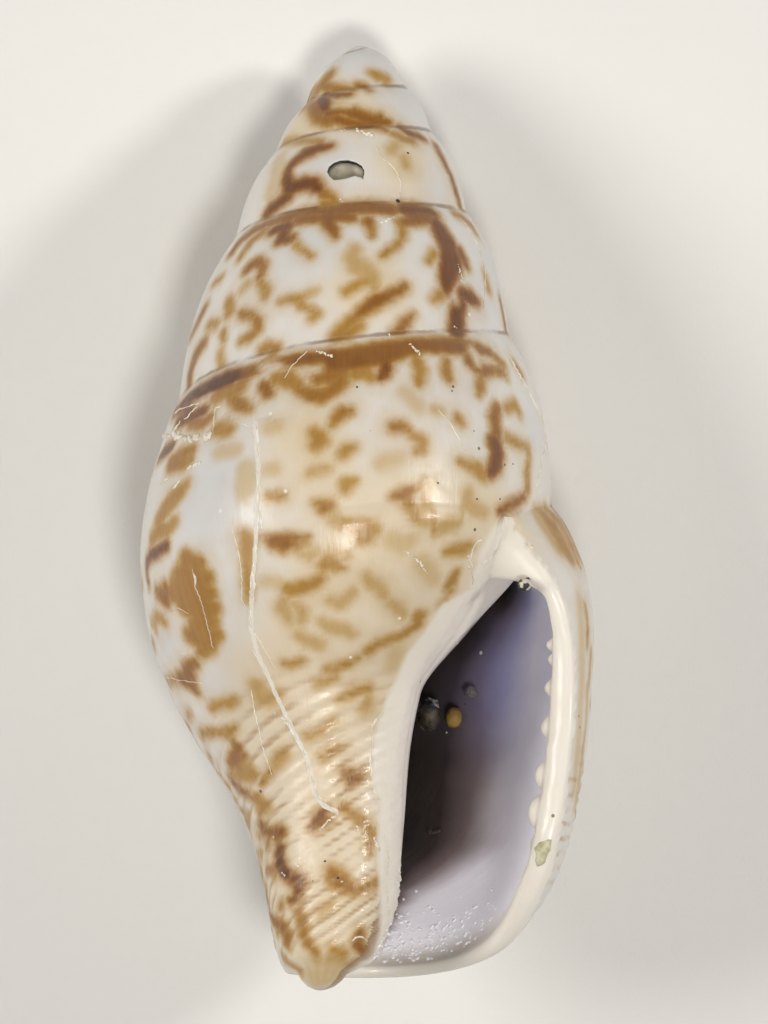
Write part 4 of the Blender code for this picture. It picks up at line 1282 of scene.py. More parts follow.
class SharedEffects:
    """Node groups that several finishes use."""

    def __init__(self) -> None:
        """Build the groups."""
        self.pitting = self.build_pitting()
        self.specks = self.build_specks()

    def group(self, name: str, inputs: tuple, outputs: tuple) -> bpy.types.NodeTree:
        """Empty group with its sockets.

        Args:
            name: Name of the group.
            inputs: Name, socket type and default of each input.
            outputs: Name and socket type of each output.

        Returns:
            The group.
        """
        tree = bpy.data.node_groups.new(name, 'ShaderNodeTree')
        for label, kind, value in inputs:
            socket = tree.interface.new_socket(label, in_out='INPUT', socket_type=kind)
            if value is not None:
                socket.default_value = value
        for label, kind in outputs:
            tree.interface.new_socket(label, in_out='OUTPUT', socket_type=kind)
        return tree

    def build_pitting(self) -> bpy.types.NodeTree:
        """Fine grain of a worn surface: a height and a change of roughness."""
        tree = self.group("pitting", (
            ("Vector", 'NodeSocketVector', None), ("Grain", 'NodeSocketFloat', 20000.0),
        ), (("Height", 'NodeSocketFloat'), ("Wear", 'NodeSocketFloat')))
        graph = Graph(tree)
        source = graph.node("NodeGroupInput")
        fine = graph.noise(source.outputs["Vector"], 1.0, 4.0, 0.6)
        tree.links.new(source.outputs["Grain"], fine.node.inputs["Scale"])
        coarse_scale = graph.math('MULTIPLY', source.outputs["Grain"], 0.18)
        coarse = graph.noise(source.outputs["Vector"], 1.0, 2.0, 0.5)
        tree.links.new(coarse_scale, coarse.node.inputs["Scale"])
        height = graph.math('MULTIPLY_ADD', fine, 0.6, graph.math('MULTIPLY', coarse, 0.8))
        graph.node("NodeGroupOutput", {"Height": height, "Wear": graph.step(coarse, 0.4, 0.7)})
        return tree

    def build_specks(self) -> bpy.types.NodeTree:
        """Small scattered specks as a mask."""
        tree = self.group("specks", (
            ("Vector", 'NodeSocketVector', None), ("Scale", 'NodeSocketFloat', 3000.0),
            ("Size", 'NodeSocketFloat', 0.2), ("Share", 'NodeSocketFloat', 0.1),
        ), (("Mask", 'NodeSocketFloat'),))
        graph = Graph(tree)
        source = graph.node("NodeGroupInput")
        cells = graph.node("ShaderNodeTexVoronoi", {
            "Vector": source.outputs["Vector"], "Scale": source.outputs["Scale"]})
        chosen = graph.math('LESS_THAN', graph.node(
            "ShaderNodeSeparateColor", {"Color": cells.outputs["Color"]}).outputs[0],
            source.outputs["Share"])
        near = graph.math('LESS_THAN', cells.outputs["Distance"], source.outputs["Size"])
        graph.node("NodeGroupOutput", {"Mask": graph.math('MULTIPLY', chosen, near)})
        return tree


@dataclass(frozen=True)
class GlazedShell:
    """Polished, stained aragonite with its callus and lining."""

    porcelain: Colour = (0.72, 0.70, 0.67)
    cream: Colour = (0.74, 0.64, 0.49)
    bluish: Colour = (0.62, 0.64, 0.68)
    haze: Colour = (0.60, 0.45, 0.24)
    callus: Colour = (0.84, 0.80, 0.73)
    # Lining tones across the mouth: the brown or violet hue is the lining's own, the near-black low
    # end is painted shade deep by the inner lip, and the near-white high end is painted light by
    # the outer lip.
    brown_lining_and_shade: tuple = (
        (0.0, (0.014, 0.010, 0.008)), (0.28, (0.05, 0.036, 0.034)), (0.50, (0.26, 0.20, 0.20)),
        (0.68, (0.70, 0.64, 0.68)), (0.86, (0.97, 0.94, 0.97)),
    )
    violet_lining_and_shade: tuple = (
        (0.0, (0.020, 0.017, 0.018)), (0.22, (0.09, 0.085, 0.15)), (0.45, (0.22, 0.21, 0.40)),
        (0.68, (0.42, 0.42, 0.74)), (0.90, (0.93, 0.91, 0.99)),
    )
    stain: tuple = (
        (0.0, (0.56, 0.39, 0.15)), (0.3, (0.43, 0.24, 0.05)), (0.55, (0.30, 0.125, 0.016)),
        (0.78, (0.17, 0.052, 0.006)), (1.0, (0.085, 0.022, 0.003)),
    )
    # Painted glow: an emission colour that lightens the shaded wall under the lip, in place of
    # light through the thin shell.
    painted_wall_light: Colour = (0.17, 0.165, 0.20)    # light that comes through the thin lip
    roughness: float = 0.33

    groove: Colour = (0.38, 0.21, 0.07)       # dirt in the cords' grooves
    seam: Colour = (0.17, 0.07, 0.02)         # dirt under the sutures
    chalk: Colour = (0.83, 0.80, 0.74)
    dot: Colour = (0.05, 0.035, 0.02)
    fleck: Colour = (0.85, 0.82, 0.76)
    subsurface: tuple = (0.25, (1.0, 0.75, 0.55), 0.00018)     # weight, radius and metres
    ior: float = 1.55
    coat: tuple = (0.1, 0.08)                 # weight and roughness

    def build(self, shared: SharedEffects) -> bpy.types.Material:
        """Make the material.

        Args:
            shared: Node groups to use.

        Returns:
            The material.
        """
        material = bpy.data.materials.new("glazed_shell")
        material.use_nodes = True
        tree = material.node_tree
        graph = Graph(tree)
        shader = tree.nodes["Principled BSDF"]
        place = graph.place()
        soft = graph.noise(place, 900.0, 3.0)
        fine = graph.noise(place, 7000.0, 4.0, 0.6)
        lines = graph.node("ShaderNodeCombineXYZ", {
            "X": graph.times(graph.attribute("growth"), 60.0),
            "Y": graph.times(graph.attribute("fall"), 0.35)})
        streaks = graph.noise(lines.outputs[0], 3.0, 4.0, 0.65)

        skin = self.marks(graph, self.ground(graph, soft, streaks), (soft, fine, streaks))
        seam = self.seams(graph, place, fine)
        skin = self.soiled(graph, skin, place, seam)
        line = graph.times(
            graph.math('LESS_THAN', graph.math('ABSOLUTE', graph.attribute("scar")),
                       graph.stray(fine, 4.5, 2.0)), graph.attribute("scar_here"))
        skin = graph.blend(graph.times(line, 0.85), skin, self.chalk)
        skin, painted_glow = self.lined(graph, skin, soft)
        skin = self.specked(graph, skin, place, shared)
        tree.links.new(skin, shader.inputs["Base Color"])
        # The lining's painted glow is fed to the emission.
        tree.links.new(graph.blend(painted_glow, (0.0, 0.0, 0.0), self.painted_wall_light),
                       shader.inputs["Emission Color"])

        pits = graph.group(shared.pitting, {"Vector": place, "Grain": 26000.0})
        rough = graph.math('MULTIPLY_ADD', pits.outputs["Wear"], 0.16, self.roughness)
        rough = graph.math('MULTIPLY_ADD', line, 0.4, rough, clamp=True)
        tree.links.new(rough, shader.inputs["Roughness"])
        height = self.relief(graph, streaks, pits.outputs["Height"], seam)
        bump = graph.node("ShaderNodeBump", {
            "Strength": 0.6, "Distance": 0.00003, "Height": height})
        tree.links.new(bump.outputs["Normal"], shader.inputs["Normal"])
        for name, value in (
            ("Emission Strength", 1.0), ("Subsurface Weight", self.subsurface[0]),
            ("Subsurface Radius", self.subsurface[1]), ("Subsurface Scale", self.subsurface[2]),
            ("IOR", self.ior), ("Coat Weight", self.coat[0]), ("Coat Roughness", self.coat[1]),
        ):
            shader.inputs[name].default_value = value
        return material

    def ground(self, graph: Graph, soft: Socket, streaks: Socket) -> Socket:
        """Porcelain with its cream and bluish areas and growth streaks."""
        warm = graph.step(graph.stray(soft, 0.5, graph.attribute("warm")), 0.0, 1.0)
        ground = graph.blend(warm, self.porcelain, self.cream)
        ground = graph.blend(graph.times(graph.attribute("cool"), 0.55), ground, self.bluish)
        return graph.blend(graph.times(graph.step(streaks, 0.45, 0.75), 0.18), ground, self.cream)

    def marks(self, graph: Graph, ground: Socket, noises: tuple) -> Socket:
        """Ground with its stained marks.

        Args:
            graph: Nodes of the material.
            ground: Colour under the marks.
            noises: Soft noise, fine noise and growth streaks.

        Returns:
            The colour.
        """
        soft, fine, streaks = noises
        stain, tone = graph.attribute("stain"), graph.attribute("tone")
        ragged = graph.stray(fine, 0.10, stain)
        haze = graph.step(graph.stray(soft, 0.5, stain), -0.28, 0.02)
        ground = graph.blend(graph.times(haze, 0.42), ground, self.haze)
        core = graph.math('MULTIPLY_ADD', graph.step(ragged, -0.06, 0.13), 0.62, 0.38)
        shade = graph.stray(soft, 0.35, graph.times(tone, core))
        shade = graph.stray(streaks, 0.2, shade, clamp=True)
        cover = graph.times(graph.step(ragged, -0.12, 0.06), graph.math(
            'MULTIPLY_ADD', graph.step(tone, 0.0, 0.35), 0.5, 0.48))
        return graph.blend(cover, ground, graph.ramp(shade, self.stain))

    def seams(self, graph: Graph, place: Socket, fine: Socket) -> Socket:
        """Where dirt lies under the sutures."""
        edge = graph.step(graph.stray(fine, 0.05, graph.attribute("suture_line")), 0.045, 0.01)
        return graph.times(edge, graph.step(graph.noise(place, 2200.0, 2.0), 0.3, 0.6))

    def soiled(self, graph: Graph, skin: Socket, place: Socket, seam: Socket) -> Socket:
        """Skin with dirt in its grooves and seams, and callus over it."""
        groove = graph.times(graph.step(graph.attribute("cord"), 0.2, -0.9),
                             graph.step(graph.noise(place, 1500.0, 2.0), 0.38, 0.62))
        skin = graph.blend(graph.times(groove, 0.66), skin, self.groove)
        skin = graph.blend(graph.times(seam, 0.6), skin, self.seam)
        return graph.blend(graph.times(graph.attribute("glaze"), 0.88), skin, self.callus)

    def lined(self, graph: Graph, skin: Socket, soft: Socket) -> tuple[Socket, Socket]:
        """Skin with the cavity's lining in painted shade and painted light, and how much painted
        glow its wall under the lip gets.
        """
        inside = graph.step(graph.attribute("inner"), 0.0, 0.006)
        # Painted shade by the inner lip and painted light by the outer, over the lining's own brown
        # or violet.
        across = graph.stray(soft, 0.16, graph.attribute("across"), clamp=True)
        deep = graph.blend(graph.attribute("violet"), graph.ramp(across, self.brown_lining_and_shade),
                           graph.ramp(across, self.violet_lining_and_shade))
        deep = graph.blend(graph.attribute("glaze"), deep, self.callus)
        # Painted glow towards the outer lip, where the wall under it is in shade; none under
        # callus.
        painted_glow = graph.times(inside, graph.step(across, 0.55, 1.0))
        painted_glow = graph.times(painted_glow, graph.math('SUBTRACT', 1.0, graph.attribute("glaze")))
        return graph.blend(inside, skin, deep), painted_glow

    def specked(self, graph: Graph, skin: Socket, place: Socket,
                shared: SharedEffects) -> Socket:
        """Skin with fine dark dots and pale flecks."""
        for scale, size, share, colour in (
            (2600.0, 0.07, 0.13, self.dot), (4200.0, 0.12, 0.05, self.fleck),
        ):
            specks = graph.group(shared.specks, {
                "Vector": place, "Scale": scale, "Size": size, "Share": share})
            skin = graph.blend(graph.times(specks.outputs["Mask"], 0.8), skin, colour)
        return skin

    def relief(self, graph: Graph, streaks: Socket, grain: Socket, seam: Socket) -> Socket:
        """Height of the growth lines, the fine grain, the scar's step and the seams."""
        step = graph.times(graph.step(graph.attribute("scar"), -3.0, 3.0),
                           graph.attribute("scar_here"))
        height = graph.math('MULTIPLY_ADD', streaks, 0.35, graph.times(grain, 0.12))
        height = graph.math('MULTIPLY_ADD', step, 0.9, height)
        return graph.math('SUBTRACT', height, graph.times(seam, 0.6))


@dataclass(frozen=True)
class PlainFinish:
    """A finish with two colours that change over the surface, and a fine grain."""

    name: str
    light: Colour
    dark: Colour
    scale: float
    rough: float
    grain: float = 20000.0
    bump: float = 0.00001
    clear: float = 0.0
    sharp: float = 0.15
    painted_glow: float = 0.0            # painted glow, in place of light that comes through from behind

    def build(self, shared: SharedEffects) -> bpy.types.Material:
        """Make the material.

        Args:
            shared: Node groups to use.

        Returns:
            The material.
        """
        material = bpy.data.materials.new(self.name)
        material.use_nodes = True
        tree = material.node_tree
        graph = Graph(tree)
        shader = tree.nodes["Principled BSDF"]
        place = graph.place()
        patches = graph.step(graph.noise(place, self.scale, 3.0), 0.5 - self.sharp,
                             0.5 + self.sharp)
        tree.links.new(graph.blend(patches, self.light, self.dark), shader.inputs["Base Color"])
        pits = graph.group(shared.pitting, {"Vector": place, "Grain": self.grain})
        tree.links.new(graph.math('MULTIPLY_ADD', pits.outputs["Wear"], 0.15, self.rough),
                       shader.inputs["Roughness"])
        bump = graph.node("ShaderNodeBump", {
            "Strength": 0.5, "Distance": self.bump, "Height": pits.outputs["Height"]})
        tree.links.new(bump.outputs["Normal"], shader.inputs["Normal"])
        if self.clear:
            shader.inputs["Transmission Weight"].default_value = self.clear
            shader.inputs["IOR"].default_value = 1.54
        # Painted glow: emission that makes the piece look lit.
        if self.painted_glow:
            shader.inputs["Emission Color"].default_value = (*self.light, 1.0)
            shader.inputs["Emission Strength"].default_value = self.painted_glow
        return material


FINISHES = {
    "bore_floor": PlainFinish(
        "inner_wall", (0.43, 0.40, 0.30), (0.31, 0.28, 0.21), 5000.0, 0.4),
    "chalk": PlainFinish("chalk", (0.87, 0.84, 0.78), (0.72, 0.64, 0.50), 7000.0, 0.6),
    # The frost's emission is painted light that keeps it as bright as the lining's painted glow.
    "canal_frost": PlainFinish(
        "frost", (0.94, 0.94, 0.97), (0.88, 0.88, 0.94), 9000.0, 0.4, painted_glow=0.13),
    "grain_seats": PlainFinish("grain_seats", (0.20, 0.16, 0.11), (0.10, 0.075, 0.05), 9000.0, 0.6),
    "lip_chip": PlainFinish("lip_chip", (0.42, 0.40, 0.22), (0.62, 0.60, 0.44), 9000.0, 0.5),
    "dark_specks": PlainFinish(
        "dark_dirt", (0.022, 0.016, 0.012), (0.05, 0.035, 0.025), 12000.0, 0.5),
    "speckled_grain": PlainFinish(
        "speckled_sand", (0.62, 0.58, 0.50), (0.03, 0.03, 0.03), 9000.0, 0.5, sharp=0.03),
    "clear_grain": PlainFinish(
        "clear_quartz", (0.95, 0.95, 0.93), (0.85, 0.84, 0.80), 3000.0, 0.08, clear=1.0),
    "small_clear_grain": PlainFinish(
        "clear_quartz_small", (0.95, 0.95, 0.93), (0.7, 0.68, 0.62), 5000.0, 0.12, clear=0.9),
    "amber_grain": PlainFinish(
        "amber_quartz", (0.42, 0.27, 0.06), (0.30, 0.17, 0.04), 4000.0, 0.35, clear=0.2),
    "floor": PlainFinish("pale_floor", (0.80, 0.80, 0.79), (0.77, 0.77, 0.76), 60.0, 0.75),
}


# Assembly

class DoveShell:
    """The shell: its fine skin, drill hole and finish."""

    bore_outline: tuple = (
        (327.5, 172), (329, 167), (334, 163), (340, 160.8), (348, 160.4), (356, 162.5),
        (361.5, 166), (364, 170.5), (364, 174), (362.5, 178.5), (360, 177), (355, 176),
        (350, 177), (345, 178.8), (339, 179.6), (334, 180), (330, 176.5),
    )
    bore_centre: tuple = (346.0, 170.5)
    bore_depth: float = 0.55
    bore_over: float = 0.3       # millimetres that the cutter stands over the skin
    bore_flare: float = 0.10     # growth of the hole at its mouth, and its taper at its foot
    bore_taper: float = 0.12
    floor_rows: tuple = ((1.0, 0.08), (0.8, 0.12), (0.45, 0.15), (0.0, 0.16))   # share, depth
    floor_spread: float = 1.02
    floor_wall: float = 0.05
    weld: float = 1e-7           # metres
    corner: tuple = (510.0, 545.0)
    corner_reach: float = 0.90
    corner_depth: float = 0.35
    corner_rounds: int = 32
    pad_line: tuple = ((505.0, 515.0), (491.0, 574.0))
    pad_size: tuple = (0.40, 0.54, 0.15)
    pad_sink: float = 0.03
    pad_steps: tuple = (48, 28)
    ring_middle: tuple = (519.0, 576.0)
    ring_step: float = 6.5       # picture points
    ring_rise: float = 0.016
    ring_squash: float = 0.8
    ring_wobble: tuple = (1.2, 0.35)     # picture points, and rate
    ring_sharp: float = 1.5
    ring_near: tuple = (14.0, 19.0)      # where the rings begin and end, in picture points
    ring_far: tuple = (36.0, 46.0)
    ring_low: tuple = (-14.0, -2.0)
    ring_left: tuple = (-34.0, -20.0)
    ring_right: tuple = (18.0, 32.0)
    ring_facing: float = 0.3
    bare: tuple = (-0.5, 0.4)    # stain and tone where there is no mark
    scar_reach: float = 40.0     # picture points
    scar_fade: tuple = (8.0, 55.0)
    seam_ends: tuple = (-0.06, 0.02)     # turns over which the last suture runs out
    seam_margin: float = 0.01

    def __init__(self, form: ShellForm, picture: Picture) -> None:
        """Build the skin."""
        self.form = form
        self.picture = picture
        self.cords = BaseCords()
        self.skin = ShellSkin(form, self.cords)
        self.piece, self.pose = self.skin.build()
        self.camera = picture.add_camera(self.pose, form.pitch)
        self.surface = Surface(self.piece, picture, self.camera)

    def cut_bore(self) -> None:
        """Cut the drill hole through the wall of the fourth whorl."""
        centre, outward = self.surface.under(*self.bore_centre)
        bm = bmesh.new()
        top, low = [], []
        for x, y in self.bore_outline:
            hit, _ = self.surface.under(x, y)
            flat = hit - outward * (hit - centre).dot(outward)
            side = flat - centre
            top.append(bm.verts.new(flat + outward * self.bore_over * MM + side * self.bore_flare))
            low.append(bm.verts.new(
                flat - outward * self.bore_depth * MM - side * self.bore_taper))
        bm.faces.new(top)
        bm.faces.new(list(reversed(low)))
        for k in range(len(top)):
            after = (k + 1) % len(top)
            bm.faces.new((top[k], low[k], low[after], top[after]))
        self.combine(bm, 'DIFFERENCE')

    def bore_floor(self) -> bpy.types.Object:
        """The inner wall that shows at the bottom of the drill hole."""
        centre, outward = self.surface.under(*self.bore_centre)
        bm = bmesh.new()
        rows = []
        for share, depth in self.floor_rows:
            row = []
            for x, y in self.bore_outline:
                hit, _ = self.surface.under(x, y)
                flat = hit - outward * (hit - centre).dot(outward)
                row.append(bm.verts.new(
                    centre + (flat - centre) * share * self.floor_spread - outward * depth * MM))
            rows.append(row)
        bridge(bm, rows)
        bmesh.ops.remove_doubles(bm, verts=bm.verts, dist=self.weld)
        below = bmesh.ops.extrude_face_region(bm, geom=list(bm.faces))
        for vertex in [g for g in below["geom"] if isinstance(g, bmesh.types.BMVert)]:
            vertex.co -= outward * self.floor_wall * MM
        bmesh.ops.recalc_face_normals(bm, faces=bm.faces)
        piece = new_object(bm, "bore_floor")
        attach(piece, "root")
        return piece

    def add_teeth(self) -> None:
        """Grow the teeth out of the lining behind the lip."""
        teeth = Teeth()
        ring = self.skin.mouth_ring(teeth.depth)[:self.skin.lip_rows + 1]
        placed = np.array([(self.pose @ Vector(point)) / MM for point in ring])
        heights = self.in_picture(placed)[:, 1]
        bm, feet = bmesh.new(), []
        for height, length, rise in teeth.bumps:
            row = int(np.abs(heights - height).argmin())
            teeth.add(bm, Vector(placed[row]) * MM, length, rise)
            feet.append(Vector(placed[row]) * MM)
        self.combine(bm, 'UNION')
        bm = bmesh.new()
        bm.from_mesh(self.piece.data)
        near = [v for v in bm.verts
                if any((v.co - foot).length < teeth.blend * MM
                       and v.co.x - foot.x < teeth.fillet_end * MM for foot in feet)]
        self.smooth(bm, near, teeth.rounds)

    def smooth_corner(self) -> None:
        """Run the mouth's upper corner smoothly into the whorl beside it."""
        centre, out = self.surface.under(*self.corner)
        top, _ = self.surface.under(*self.pad_line[0])
        low, _ = self.surface.under(*self.pad_line[1])
        along = low - top
        along = (along - out * along.dot(out)).normalized()
        axes = Matrix((out.cross(along), along, out)).transposed().to_4x4()
        middle = (top + low) / 2 - out * self.pad_sink * MM
        size = Matrix.Diagonal(Vector(self.pad_size) * MM).to_4x4()
        bm = bmesh.new()
        bmesh.ops.create_uvsphere(
            bm, u_segments=self.pad_steps[0], v_segments=self.pad_steps[1], radius=1.0,
            matrix=Matrix.Translation(middle) @ axes @ size)
        self.combine(bm, 'UNION')
        bm = bmesh.new()
        bm.from_mesh(self.piece.data)
        near = [v for v in bm.verts if (v.co - centre).length < self.corner_reach * MM
                and (v.co - centre).dot(out) > -self.corner_depth * MM]
        self.smooth(bm, near, self.corner_rounds)
        self.ripple(out)
        self.surface = Surface(self.piece, self.picture, self.camera)

    def ripple(self, out: Vector) -> None:
        """Raise the rings of callus round the mouth's upper corner."""
        vertices = self.piece.data.vertices
        flat = self.in_picture(np.array([v.co for v in vertices]) / MM)
        x, y = flat[:, 0] - self.ring_middle[0], flat[:, 1] - self.ring_middle[1]
        size, rate = self.ring_wobble
        away = np.hypot(x, y * self.ring_squash) + size * np.sin(rate * x)
        wave = np.sin(2.0 * math.pi * away / self.ring_step)
        rise = np.clip(wave, 0.0, 1.0) ** self.ring_sharp
        rise *= ramp(away, *self.ring_near) * (1.0 - ramp(away, *self.ring_far))
        rise *= (1.0 - ramp(y, *self.ring_low)) * ramp(x, *self.ring_left)
        rise *= 1.0 - ramp(x, *self.ring_right)
        for vertex, high in zip(vertices, rise * self.ring_rise * MM):
            if high > 0.0 and vertex.normal.dot(out) > self.ring_facing:
                vertex.co += vertex.normal * high

    def smooth(self, bm: bmesh.types.BMesh, corners: list, rounds: int) -> None:
        """Smooth some corners of the shell's mesh and put it back."""
        for _ in range(rounds):
            bmesh.ops.smooth_vert(bm, verts=corners, factor=0.5,
                                  use_axis_x=True, use_axis_y=True, use_axis_z=True)
        bm.to_mesh(self.piece.data)
        bm.free()

    def combine(self, bm: bmesh.types.BMesh, operation: str) -> None:
        """Cut a form out of the shell or add it, and keep what the skin knows.

        Args:
            bm: The form, which this uses up.
            operation: Boolean operation.
        """
        before = self.read("growth", "fall", "inner", "region")
        old = [v.co.copy() for v in self.piece.data.vertices]
        bmesh.ops.recalc_face_normals(bm, faces=bm.faces)
        form = new_object(bm, "form")
        modifier = self.piece.modifiers.new("form", 'BOOLEAN')
        modifier.object = form
        modifier.operation = operation
        modifier.solver = 'MANIFOLD'
        bpy.ops.object.select_all(action='DESELECT')
        bpy.context.view_layer.objects.active = self.piece
        bpy.ops.object.modifier_apply(modifier=modifier.name)
        bpy.data.objects.remove(form, do_unlink=True)
        tree = kdtree.KDTree(len(old))
        for index, point in enumerate(old):
            tree.insert(point, index)
        tree.balance()
        nearest = [tree.find(v.co)[1] for v in self.piece.data.vertices]
        for name, values in before.items():
            self.write(name, values[nearest])
        LOG.info("%s: %d corners from %d", operation.lower(), len(nearest), len(old))

    def read(self, *names: str) -> dict:
        """Values of named attributes, one per vertex."""
        found = {}
        for name in names:
            values = np.zeros(len(self.piece.data.vertices), np.float32)
            self.piece.data.attributes[name].data.foreach_get("value", values)
            found[name] = values
        return found

    def write(self, name: str, values: np.ndarray) -> None:
        """Store one value per vertex as an attribute."""
        attributes = self.piece.data.attributes
        if name in attributes:
            attributes.remove(attributes[name])
        layer = attributes.new(name, 'FLOAT', 'POINT')
        layer.data.foreach_set("value", np.asarray(values, np.float32))

    def wear_flat(self) -> None:
        """Wear the resting spot flat."""
        for vertex in self.piece.data.vertices:
            vertex.co.z = max(0.0, vertex.co.z)

    def paint(self) -> None:
        """Store where the marks, glaze, scar, seams, cords and the mouth's tones lie."""
        mesh = self.piece.data
        points = np.array([v.co for v in mesh.vertices]) / MM
        known = self.read("growth", "fall", "inner", "region")
        outside = known["region"] < Region.LIP.value - 0.5
        markings = Markings(self.surface, self.form, self.pose)
        seen = [markings.seen_spots(chains, tone) for tone, chains in MARKS.items()]
        spots = np.vstack([*seen, markings.hidden_spots()])
        stain, tone = (np.full(len(points), value) for value in self.bare)
        stain[outside], tone[outside] = markings.measure(points[outside], spots)
        gaps = markings.seen_spots(GAPS, Tone.FAINT)
        gap, _ = markings.measure(points[outside], gaps)
        stain[outside] = np.minimum(stain[outside], -gap)
        self.write("stain", stain)
        self.write("tone", tone)
        weathering = Weathering()
        self.write("warm", markings.soft(points, weathering.warm))
        self.write("cool", markings.soft(points, weathering.cool))
        self.write("suture_line", self.suture_line(known, outside))
        flat = self.in_picture(points)
        facing = np.array([v.normal for v in mesh.vertices])[:, 2] > 0.0
        side, beside = SCAR.side(flat)
        self.write("scar", np.clip(side, -self.scar_reach, self.scar_reach))
        self.write("scar_here", beside * (outside & facing)
                   * (1.0 - ramp(np.abs(side), *self.scar_fade)))
        glazed = self.glaze(flat, known)
        across, violet = self.across_mouth(flat)
        self.write("glaze", glazed)
        self.write("across", across)
        self.write("violet", violet)
        self.write("cord", np.where(
            np.round(known["region"]) == Region.BODY.value,
            mix(self.cords.wave(known["growth"], known["fall"]), 1.0, glazed), 1.0))

    def dress(self, material: bpy.types.Material) -> None:
        """Give the whole shell one material."""
        mesh = self.piece.data
        mesh.materials.clear()
        mesh.materials.append(material)
        mesh.polygons.foreach_set("material_index", np.zeros(len(mesh.polygons), np.int32))

    def in_picture(self, points: np.ndarray) -> np.ndarray:
        """Picture points of vertices given in millimetres."""
        eye = np.array(self.camera.matrix_world.inverted())
        local = points * MM @ eye[:3, :3].T + eye[:3, 3]
        scale = self.picture.distance * MM / -local[:, 2] / (self.picture.point * MM)
        x = self.picture.middle[0] + local[:, 0] * scale
        y = self.picture.middle[1] - local[:, 1] * scale
        return np.stack([x, y], axis=1)

    def suture_line(self, known: dict, outside: np.ndarray) -> np.ndarray:
        """Drop from the nearest suture, millimetres, up to one."""
        away = np.ones(len(outside))
        turn, drop = known["growth"][outside], known["fall"][outside]
        over = drop - self.form.suture(turn)[1]
        under = np.where(turn < self.form.inner_lip[0][1] + self.seam_margin,
                         self.form.suture(turn + 1.0)[1] - drop, 1.0)
        away[outside] = np.clip(
            np.minimum(over, under) + ramp(turn, *self.seam_ends), 0.0, 1.0)
        return away

    def glaze(self, flat: np.ndarray, known: dict) -> np.ndarray:
        """How much callus covers the skin: the lip, a pad along the inner lip, and a band behind
        the lip that is partly painted light.

        Args:
            flat: Picture points of the vertices.
            known: What the skin knows of each vertex.

        Returns:
            0 on bare skin and 1 under callus.
        """
        x, y = flat[:, 0], flat[:, 1]
        mouth = MouthForm()
        start = mouth.at(mouth.callus_edge, y)
        end = mouth.at(mouth.inner_edge, y)
        pad = ramp(x - start, *mouth.pad_side) * ramp(y, *mouth.pad_top)
        pad = pad * (known["growth"] < mouth.pad_turns)
        wall = 1.0 - ramp(x - end, *mouth.wall_side)
        region = np.round(known["region"])
        wall = wall * (known["inner"] < mouth.wall_depth) * (region == Region.WALL.value)
        # The pale band just behind the lip is callus and also painted light against the shade under
        # the lip.
        wall = np.maximum(wall, 1.0 - ramp(known["inner"], *mouth.rim_glaze_and_light_depth))
        glazed = np.where(region == Region.BODY.value, pad, 0.0)
        glazed = np.where(region >= Region.LINING.value, wall, glazed)
        return np.where(region == Region.LIP.value, 1.0, glazed)

    def across_mouth(self, flat: np.ndarray) -> tuple[np.ndarray, np.ndarray]:
        """Place across the mouth, 0 at the inner lip and 1 at the outer, which sets the lining's
        painted shade and light, and how violet it is.
        """
        x, y = flat[:, 0], flat[:, 1]
        mouth = MouthForm()
        start, end = mouth.at(mouth.inner_edge, y), mouth.at(mouth.outer_edge, y)
        across = (x - start) / np.maximum(end - start, mouth.least_width)
        # Painted light on the notch's floor, which stops short of the inner lip so that painted
        # shade stays behind the columella.
        across = across + (mouth.notch_painted_light * ramp(y, *mouth.notch_span)
                           * ramp(x - start, *mouth.notch_side))
        violet = ramp(across, *mouth.violet_share) * (1.0 - ramp(y, *mouth.violet_span))
        return np.clip(across, 0.0, 1.0), violet


@dataclass(frozen=True)
class MouthForm:
    """Edges of the mouth and its callus as the camera sees them, in picture points."""

    callus_edge: tuple = (
        (500, 512), (488, 535), (476, 556), (468, 590), (440, 605), (425, 630), (405, 655),
        (395, 680), (385, 700), (378, 720), (371, 750), (372, 785), (379, 800), (376, 840),
        (379, 930), (372, 956), (352, 972),
    )
    inner_edge: tuple = (
        (528, 570), (519, 578), (500, 600), (480, 618), (460, 638), (445, 650), (430, 663),
        (420, 680), (413, 700), (410, 720), (403, 790), (402, 830), (400, 870), (390, 920),
        (372, 956),
    )
    outer_edge: tuple = (
        (534, 570), (545, 605), (546, 660), (549, 710), (547, 760), (541, 810), (530, 850),
        (517, 880), (498, 915), (470, 945), (430, 960),
    )
    wall_depth: float = 0.5      # turns
    notch_painted_light: float = 0.8     # painted light: how much lighter the floor of the notch is made
    notch_span: tuple = (835.0, 935.0)
    notch_side: tuple = (-25.0, 15.0)
    violet_share: tuple = (0.15, 0.7)
    violet_span: tuple = (680.0, 800.0)
    least_width: float = 10.0
    pad_side: tuple = (-2.0, 5.0)
    pad_top: tuple = (512.0, 530.0)
    pad_turns: float = -0.6      # turn at which the pad ends
    wall_side: tuple = (-3.0, 3.0)
    rim_glaze_and_light_depth: tuple = (0.008, 0.06)     # turns behind the lip over which its glaze, partly painted light, runs out

    def at(self, edge: tuple, y: np.ndarray) -> np.ndarray:
        """Where an edge lies at a height of the picture."""
        return np.interp(y, [point[1] for point in edge], [point[0] for point in edge])


class Sand:
    """The grains in the mouth, which keep the forms of their solids."""

    grains: tuple = ("speckled_grain", "clear_grain", "small_clear_grain", "amber_grain")

    def dress(self, shared: SharedEffects) -> None:
        """Give the grains that the frame carries their finishes."""
        for name in self.grains:
            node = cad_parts[name]
            node.data.materials.clear()
            node.data.materials.append(FINISHES[name].build(shared))
            LOG.info("dressed %s", name)


